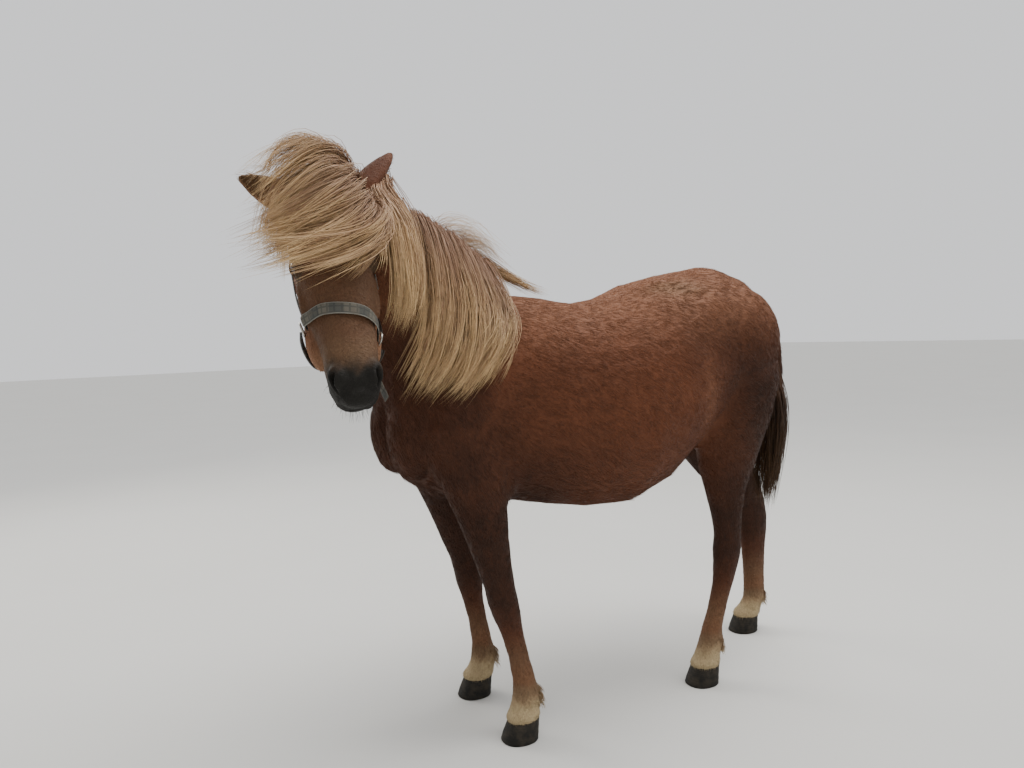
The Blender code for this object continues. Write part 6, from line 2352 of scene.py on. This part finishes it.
@dataclass
class ShortCoat:
    """The short rough coat, as tufts over the whole skin.

    Attributes:
        skin: What it grows from.
        most: The most tufts in a piece.
        seed: The draw's seed.
    """

    skin: Object
    most: int = 30000
    seed: int = 61

    def region_of(self, points: np.ndarray) -> np.ndarray:
        """The number of the region of each place.

        Args:
            points: Places in the design frame, a row each.

        Returns:
            A field's number for each point.
        """
        x, y, z = points.T
        left = x > 0
        shoulder = np.where(left, Region.SHOULDER_LEFT, Region.SHOULDER_RIGHT)
        barrel = np.where(left, Region.BARREL_LEFT, Region.BARREL_RIGHT)
        quarter = np.where(left, Region.QUARTER_LEFT, Region.QUARTER_RIGHT)
        found = np.where(y < -0.16, shoulder, np.where(y < 0.13, barrel, quarter))
        found = np.where((z > 0.79) & (y < -0.4), Region.NECK, found)
        found = np.where((z < 0.5) & (y < -0.05), Region.FORELEGS, found)
        hind = (z < 0.53) & (y > 0.05) & ((np.abs(x) > 0.02) | (z < 0.47))
        found = np.where(hind, Region.HINDLEGS, found)
        return np.where(past_neck(points) > 0, Region.HEAD, found)

    def lie(self, points: np.ndarray, normals: np.ndarray) -> np.ndarray:
        """The way that the coat lies.

        Args:
            points: Roots of the tufts.
            normals: The skin's normals there.

        Returns:
            Unit directions along the skin.
        """
        _, y, z = points.T
        way = np.tile(np.array([0.0, 0.79, -0.61]), (len(points), 1))
        for share, other in (
            (smoothstep(-0.34, -0.46, y), (0.0, 0.45, -0.9)),
            (smoothstep(0.28, 0.44, y), (0.0, 0.4, -0.92)),
            (smoothstep(0.6, 0.48, z), (0.0, 0.16, -0.98)),
            (smoothstep(-0.45, -0.8, normals[:, 2]) * smoothstep(0.4, 0.46, z), (0.0, 1.0, -0.05)),
        ):
            way = way * (1 - share[:, None]) + np.array(other) * share[:, None]
        local = head_measures(points)
        on = smoothstep(-0.01, 0.03, past_neck(points))[:, None]
        cheek = smoothstep(-0.03, -0.1, local[:, 1])[:, None]
        face = np.array(DOWN) * 0.95 + np.array(SIDE) * (np.sign(local[:, :1]) * 0.28)
        face = face * (1 - cheek) + (np.array(DOWN) * 0.55 - np.array(FRONT) * 0.8) * cheek
        for side in (1, -1):
            rise, off, up = self.by_ear(side, points)
            ear = (smoothstep(0.01, 0.03, rise) * smoothstep(0.05, 0.04, off))[:, None]
            face = face * (1 - ear) + up * ear
        way = way * (1 - on) + face * on
        way = unit(way - normals * (way * normals).sum(axis=1, keepdims=True))
        turn = 0.22 * ripple(points, 22.0, 5.0) + 0.1 * ripple(points, 70.0, 8.0)
        return unit(way + np.cross(normals, way) * turn[:, None])

    def by_ear(self, side: int, points: np.ndarray) -> tuple[np.ndarray, np.ndarray, np.ndarray]:
        """How far points lie up an ear and off its axis, and the axis.

        Args:
            side: 1 on the left and -1 on the right.
            points: Places in the design frame, a row each.

        Returns:
            The height up the ear and the distance from its axis, a point each, and the axis.
        """
        root, _, _, up = ear_frame(side)
        away, up = points - np.array(root), np.array(up)
        rise = away @ up
        return rise, np.linalg.norm(away - rise[:, None] * up, axis=1), up

    def unwrap(self, number: Region, points: np.ndarray) -> np.ndarray:
        """Places on an unwrap of the skin round the field's own axis.

        Args:
            number: The field.
            points: Places in the design frame, a row each.

        Returns:
            A place in the unit square for each point.
        """
        x, y, z = points.T
        whole = 2 * math.pi
        if number == Region.HEAD:
            side, front, second = head_measures(points).T
            first = (np.arctan2(side, front + 0.085) / whole) % 1.0
        elif number in (Region.FORELEGS, Region.HINDLEGS):
            left, right = np.interp(z, [0, 0.5], [-0.34, -0.41]), np.interp(z, [0, 0.5], [-0.33, -0.39])
            if number == Region.HINDLEGS:
                left, right = 0.26, 0.5
            centre = np.where(x > 0, left, right)
            turn = np.arctan2(y - centre, np.abs(x) - 0.12) / whole % 1.0
            first, second = turn * 0.48 + np.where(x > 0, 0.0, 0.5), z
        elif number == Region.NECK:
            first, second = (np.arctan2(x, z - 1.15 - 0.4 * (y + 0.5)) / whole) % 1.0, y
        else:
            first = (np.arctan2(np.abs(x), z - 0.76) / math.pi) % 1.0
            second = y + 0.25 * (z < 0.6) * (0.6 - z)
        grid = np.stack([first, second], axis=1)
        low, high = grid.min(axis=0), grid.max(axis=0)
        return (grid - low) / np.maximum(high - low, 1e-6) * 0.985 + 0.004

    def build(self) -> list[Object]:
        """Every region's tufts.

        Returns:
            The pieces, in the design frame.
        """
        rng = np.random.default_rng(self.seed)
        mesh = self.skin.data
        mesh.calc_loop_triangles()
        corners = np.empty(len(mesh.loop_triangles) * 3, np.int32)
        mesh.loop_triangles.foreach_get("vertices", corners)
        corners = corners.reshape(-1, 3)
        points, normals = coordinates(self.skin), vertex_normals(self.skin)
        a, b, c = (points[corners[:, k]] for k in range(3))
        area = np.linalg.norm(np.cross(b - a, c - a), axis=1) / 2
        middle = (a + b + c) / 3
        region = self.region_of(middle)
        density = TUFTS[region] * self.bare(middle)
        made = []
        for field in Region:
            mine = region == field
            weight = area[mine] * density[mine]
            count = int(min(self.most, weight.sum()))
            LOG.info("%s wants %d tufts, has %d", field.name, int(weight.sum()), count)
            chosen = np.nonzero(mine)[0][rng.choice(mine.sum(), count, p=weight / weight.sum())]
            u, v = rng.uniform(0, 1, count), rng.uniform(0, 1, count)
            over = u + v > 1
            u, v = np.where(over, 1 - u, u), np.where(over, 1 - v, v)
            tri = corners[chosen]
            shares = np.stack([1 - u - v, u, v], axis=1)[..., None]
            roots = (points[tri] * shares).sum(axis=1)
            outs = unit((normals[tri] * shares).sum(axis=1))
            made.append(self.tufts(field, roots, outs, rng))
        return made

    def bare(self, points: np.ndarray) -> np.ndarray:
        """Where tufts grow, from 0 in the eyes, nostrils and hooves to 1.

        Args:
            points: Places in the design frame, a row each.

        Returns:
            The share of each point.
        """
        open_skin = np.ones(len(points))
        for side in (1, -1):
            opening = eye_centre(side) + eye_axes(side)[2] * 0.018
            open_skin *= smoothstep(0.017, 0.024, distance(points, opening))
            open_skin *= smoothstep(0.018, 0.027, distance(points, nostril_centre(side)))
        open_skin *= points[:, 2] > 0.0425
        muzzle = (past_neck(points) > 0) & (head_measures(points)[:, 2] > 0.35)
        return open_skin * np.where(muzzle, 0.75, 1.0) + 1e-9

    def lengths(self, roots: np.ndarray, outs: np.ndarray) -> np.ndarray:
        """How long the coat is at places with the given normals.

        Args:
            roots: Roots of the tufts.
            outs: The skin's normals there.

        Returns:
            The length at each root.
        """
        z = roots[:, 2]
        body = 0.01 + 0.007 * smoothstep(0.3, 0.62, z)
        body = body + 0.007 * (smoothstep(-0.55, -0.9, outs[:, 2]) * smoothstep(0.44, 0.5, z))
        body = np.where(z < 0.095, 0.01, body)
        local = head_measures(roots)
        head = 0.0056 + 0.005 * smoothstep(-0.08, -0.14, local[:, 1])
        head = np.where(local[:, 2] > 0.34, 0.0042, head)
        for ear in (1, -1):
            rise, off, _ = self.by_ear(ear, roots)
            head = np.where((rise > 0.022) & (off < 0.045), 0.0034, head)
        on = smoothstep(-0.03, 0.03, past_neck(roots))
        return body * (1 - on) + head * on

    def tufts(
        self, field: Region, roots: np.ndarray, outs: np.ndarray, rng: np.random.Generator
    ) -> Object:
        """One field's tufts.

        Args:
            field: The field.
            roots: Roots of the tufts.
            outs: The skin's normals there.
            rng: The seeded draw.

        Returns:
            The piece.
        """
        count = len(roots)
        way = self.lie(roots, outs)
        side = np.cross(outs, way)
        way = unit(way + side * rng.normal(0, 0.11, count)[:, None])
        length = self.lengths(roots, outs) * rng.uniform(0.65, 1.3, count)
        width = (length * 0.09 + 0.0006) * rng.uniform(0.7, 1.3, count)
        stand = 0.05 + 0.05 * rng.uniform(0, 1, count) + 0.12 * (rng.uniform(0, 1, count) > 0.94)
        rise, run = np.array([-0.04, 0.7]), np.array([0.0, 1.0])
        paths = roots[:, None] + way[:, None] * (length[:, None] * run)[..., None]
        paths = paths + outs[:, None] * (length[:, None] * stand[:, None] * rise)[..., None]
        paths[:, 1] += side * (rng.normal(0, 0.06, count) * length)[:, None]
        lots = np.clip(0.5 + 0.1 * ripple(roots, 45.0, 2.0) + rng.normal(0, 0.17, count), 0, 1)
        fell = Fell(paths, outs, width, 0.42, lots, self.unwrap(field, roots))
        return fell.build(f"coat_{field.name.lower()}", True)


# The stage


@dataclass
class Studio:
    """A pale floor, soft light and the camera.

    Attributes:
        lens: Focal length of the camera, in millimetres.
        turn: Where the camera looks, in degrees from the pony's right towards its tail.
        roll: How far the camera leans, in degrees.
        drop: How far the photograph's middle row lies under its horizon, and the focal length, in pixels.
    """

    lens: float = 28.83
    turn: float = 26.472
    roll: float = 2.2
    drop: tuple[float, float] = (384 - 335, 820)

    def floor(self) -> None:
        """A pale matt floor, a little under the hooves."""
        made = primitive(bpy.ops.mesh.primitive_plane_add, "studio_floor", size=60.0)
        made.location.z = -0.0005
        finish, n, shader = principled("pale_floor", {"Roughness": 0.9})
        n.feed(shader.inputs["Base Color"], n.mix(n.noise(1.5, 3.0), (0.6, 0.6, 0.585), (0.64, 0.64, 0.625)))
        dress(made, finish)

    def hang(self, data: bpy.types.Light | bpy.types.Camera) -> Object:
        """A new object for a light or a camera.

        Args:
            data: The light or the camera.

        Returns:
            The object.
        """
        made = bpy.data.objects.new(data.name, data)
        bpy.context.scene.collection.objects.link(made)
        return made

    def lights(self) -> None:
        """A sky that is bright behind the pony, a veiled sun, a key from above, a soft fill and a rim."""
        world = bpy.data.worlds.new("soft_sky")
        bpy.context.scene.world = world
        world.use_nodes = True
        n = Nodes(world.node_tree)
        toward = n.add("ShaderNodeVectorMath", {1: (-0.895, 0.446, 0.0)}, operation="DOT_PRODUCT")
        n.feed(toward.inputs[0], n.add("ShaderNodeTexCoord").outputs["Generated"])
        sky = n.mix(n.ramp(toward.outputs["Value"], -0.5, 0.75), (0.3, 0.3, 0.3), (0.98, 0.985, 1.0))
        n.feed(world.node_tree.nodes["Background"].inputs["Color"], sky)
        sun = bpy.data.lights.new("high_cloud", "SUN")
        sun.energy, sun.angle, sun.color = 1.9, 1.1, (1.0, 0.98, 0.95)
        self.hang(sun).rotation_euler = (math.radians(-14), math.radians(10), 0)
        for name, place, aim, size, power, colour in (
            ("key", (0.4, 1.4, 4.2), (0.1, 0.0, 0.8), 3.4, 120.0, (1.0, 0.97, 0.92)),
            ("fill", (4.0, -2.4, 2.4), (0.1, -0.2, 0.8), 3.0, 38.0, (1.0, 0.98, 0.95)),
            ("rim", (-3.2, -1.6, 2.8), (0.0, -0.3, 0.9), 2.0, 60.0, (1.0, 0.95, 0.86)),
        ):
            lamp = bpy.data.lights.new(name, "AREA")
            lamp.energy, lamp.size, lamp.color = power, size, colour
            made = self.hang(lamp)
            made.location = place
            made.rotation_euler = (Vector(aim) - Vector(place)).to_track_quat("-Z", "Y").to_euler()

    def camera(self) -> None:
        """The camera at the photograph's place: low, ahead of the left shoulder."""
        turn, roll = math.radians(self.turn), math.radians(self.roll)
        rows, focal = self.drop
        pitch = math.atan(rows * math.cos(roll) / focal)
        level = Vector((math.sin(turn), math.cos(turn), 0))
        ahead = Vector((-math.cos(turn), math.sin(turn), 0))
        forward = ahead * math.cos(pitch) - Vector((0, 0, math.sin(pitch)))
        above = Vector((0, 0, math.cos(pitch))) + ahead * math.sin(pitch)
        right = level * math.cos(roll) - above * math.sin(roll)
        up = above * math.cos(roll) + level * math.sin(roll)
        data = bpy.data.cameras.new("photo_camera")
        data.sensor_width = 36.0
        data.lens = self.lens
        place = Matrix((right, up, -forward)).transposed().to_4x4()
        place.translation = Vector((1.7344, -1.1291, 0.9)) + SETTLE
        made = self.hang(data)
        made.matrix_world = place
        bpy.context.scene.camera = made

    def build(self) -> None:
        """The whole stage."""
        self.floor()
        self.lights()
        self.camera()


FLESH_NODES = (
    "torso", "neck", "head", "ear_left", "ear_right", "foreleg_left", "foreleg_right", "hindleg_left",
    "hindleg_right",
)


def dress(item: Object, finish: Material) -> Object:
    """Gives a piece its one material.

    Args:
        item: The object.
        finish: The material.

    Returns:
        The same piece.
    """
    item.data.materials.clear()
    item.data.materials.append(finish)
    return item


def main() -> None:
    """Builds the pony's skin, hair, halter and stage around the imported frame."""
    logging.basicConfig(level=logging.INFO, format="%(message)s")
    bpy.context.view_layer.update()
    deselect()
    marks_and_light, wear = marks_and_light_group(), wear_group()
    skin = dress(Flesh().build(), CoatFinish("skin_and_flat_fur", bump=0.55).build(marks_and_light))
    tuft = CoatFinish("coat_tufts", gain=0.36).build(marks_and_light)
    ground = BVHTree.FromObject(skin, bpy.context.evaluated_depsgraph_get())

    for side, word in ((1, "left"), (-1, "right")):
        settle(dress(Eyeball(side).build(), EyeFinish().build()), Slot.EYE, f"eye_{word}")
    horn = HoofFinish().build(wear)
    for name, side, middle, out in (
        ("fore_left", 1, -0.3465, 0.132),
        ("fore_right", -1, -0.34, 0.132),
        ("hind_left", 1, 0.185, 0.112),
        ("hind_right", -1, 0.525, 0.112),
    ):
        settle(dress(Hoof(f"horn_{name}", side, middle, out).build(), horn), Slot.HORN, f"hoof_{name}")

    halter = Halter()
    web = WebbingFinish("grey_webbing").build()
    leather, steel = STRAP_FINISH.build(wear), STEEL_FINISH.build(wear)
    for strap in halter.straps():
        free = strap.node == "halter_strap_end"
        finish, slot = (web, Slot.WEBBING) if strap.woven else (leather, Slot.STRAP)
        settle(dress(strap.build(None if free else ground), finish), slot, strap.node)
    for word in ("left", "right"):
        settle(dress(halter.ring(word), steel), Slot.FITTINGS, f"halter_ring_{word}")
    settle(dress(halter.buckle(), steel), Slot.FITTINGS, "halter_buckle")

    hair = Hair(ground)
    blond, dark = HAIR_FINISH.build(), TAIL_FINISH.build()
    for piece in hair.mane() + hair.forelock():
        settle(dress(piece, blond), Slot.COAT)
    settle(dress(hair.tail(), dark), Slot.TAIL, "tail")
    settle(dress(hair.fetlocks(), tuft), Slot.COAT)
    settle(dress(hair.whiskers(), tuft), Slot.COAT)
    for piece in ShortCoat(skin).build():
        settle(dress(piece, tuft), Slot.COAT)
    settle(skin, Slot.COAT, *FLESH_NODES)
    Studio().build()


if __name__ == "__main__":
    main()
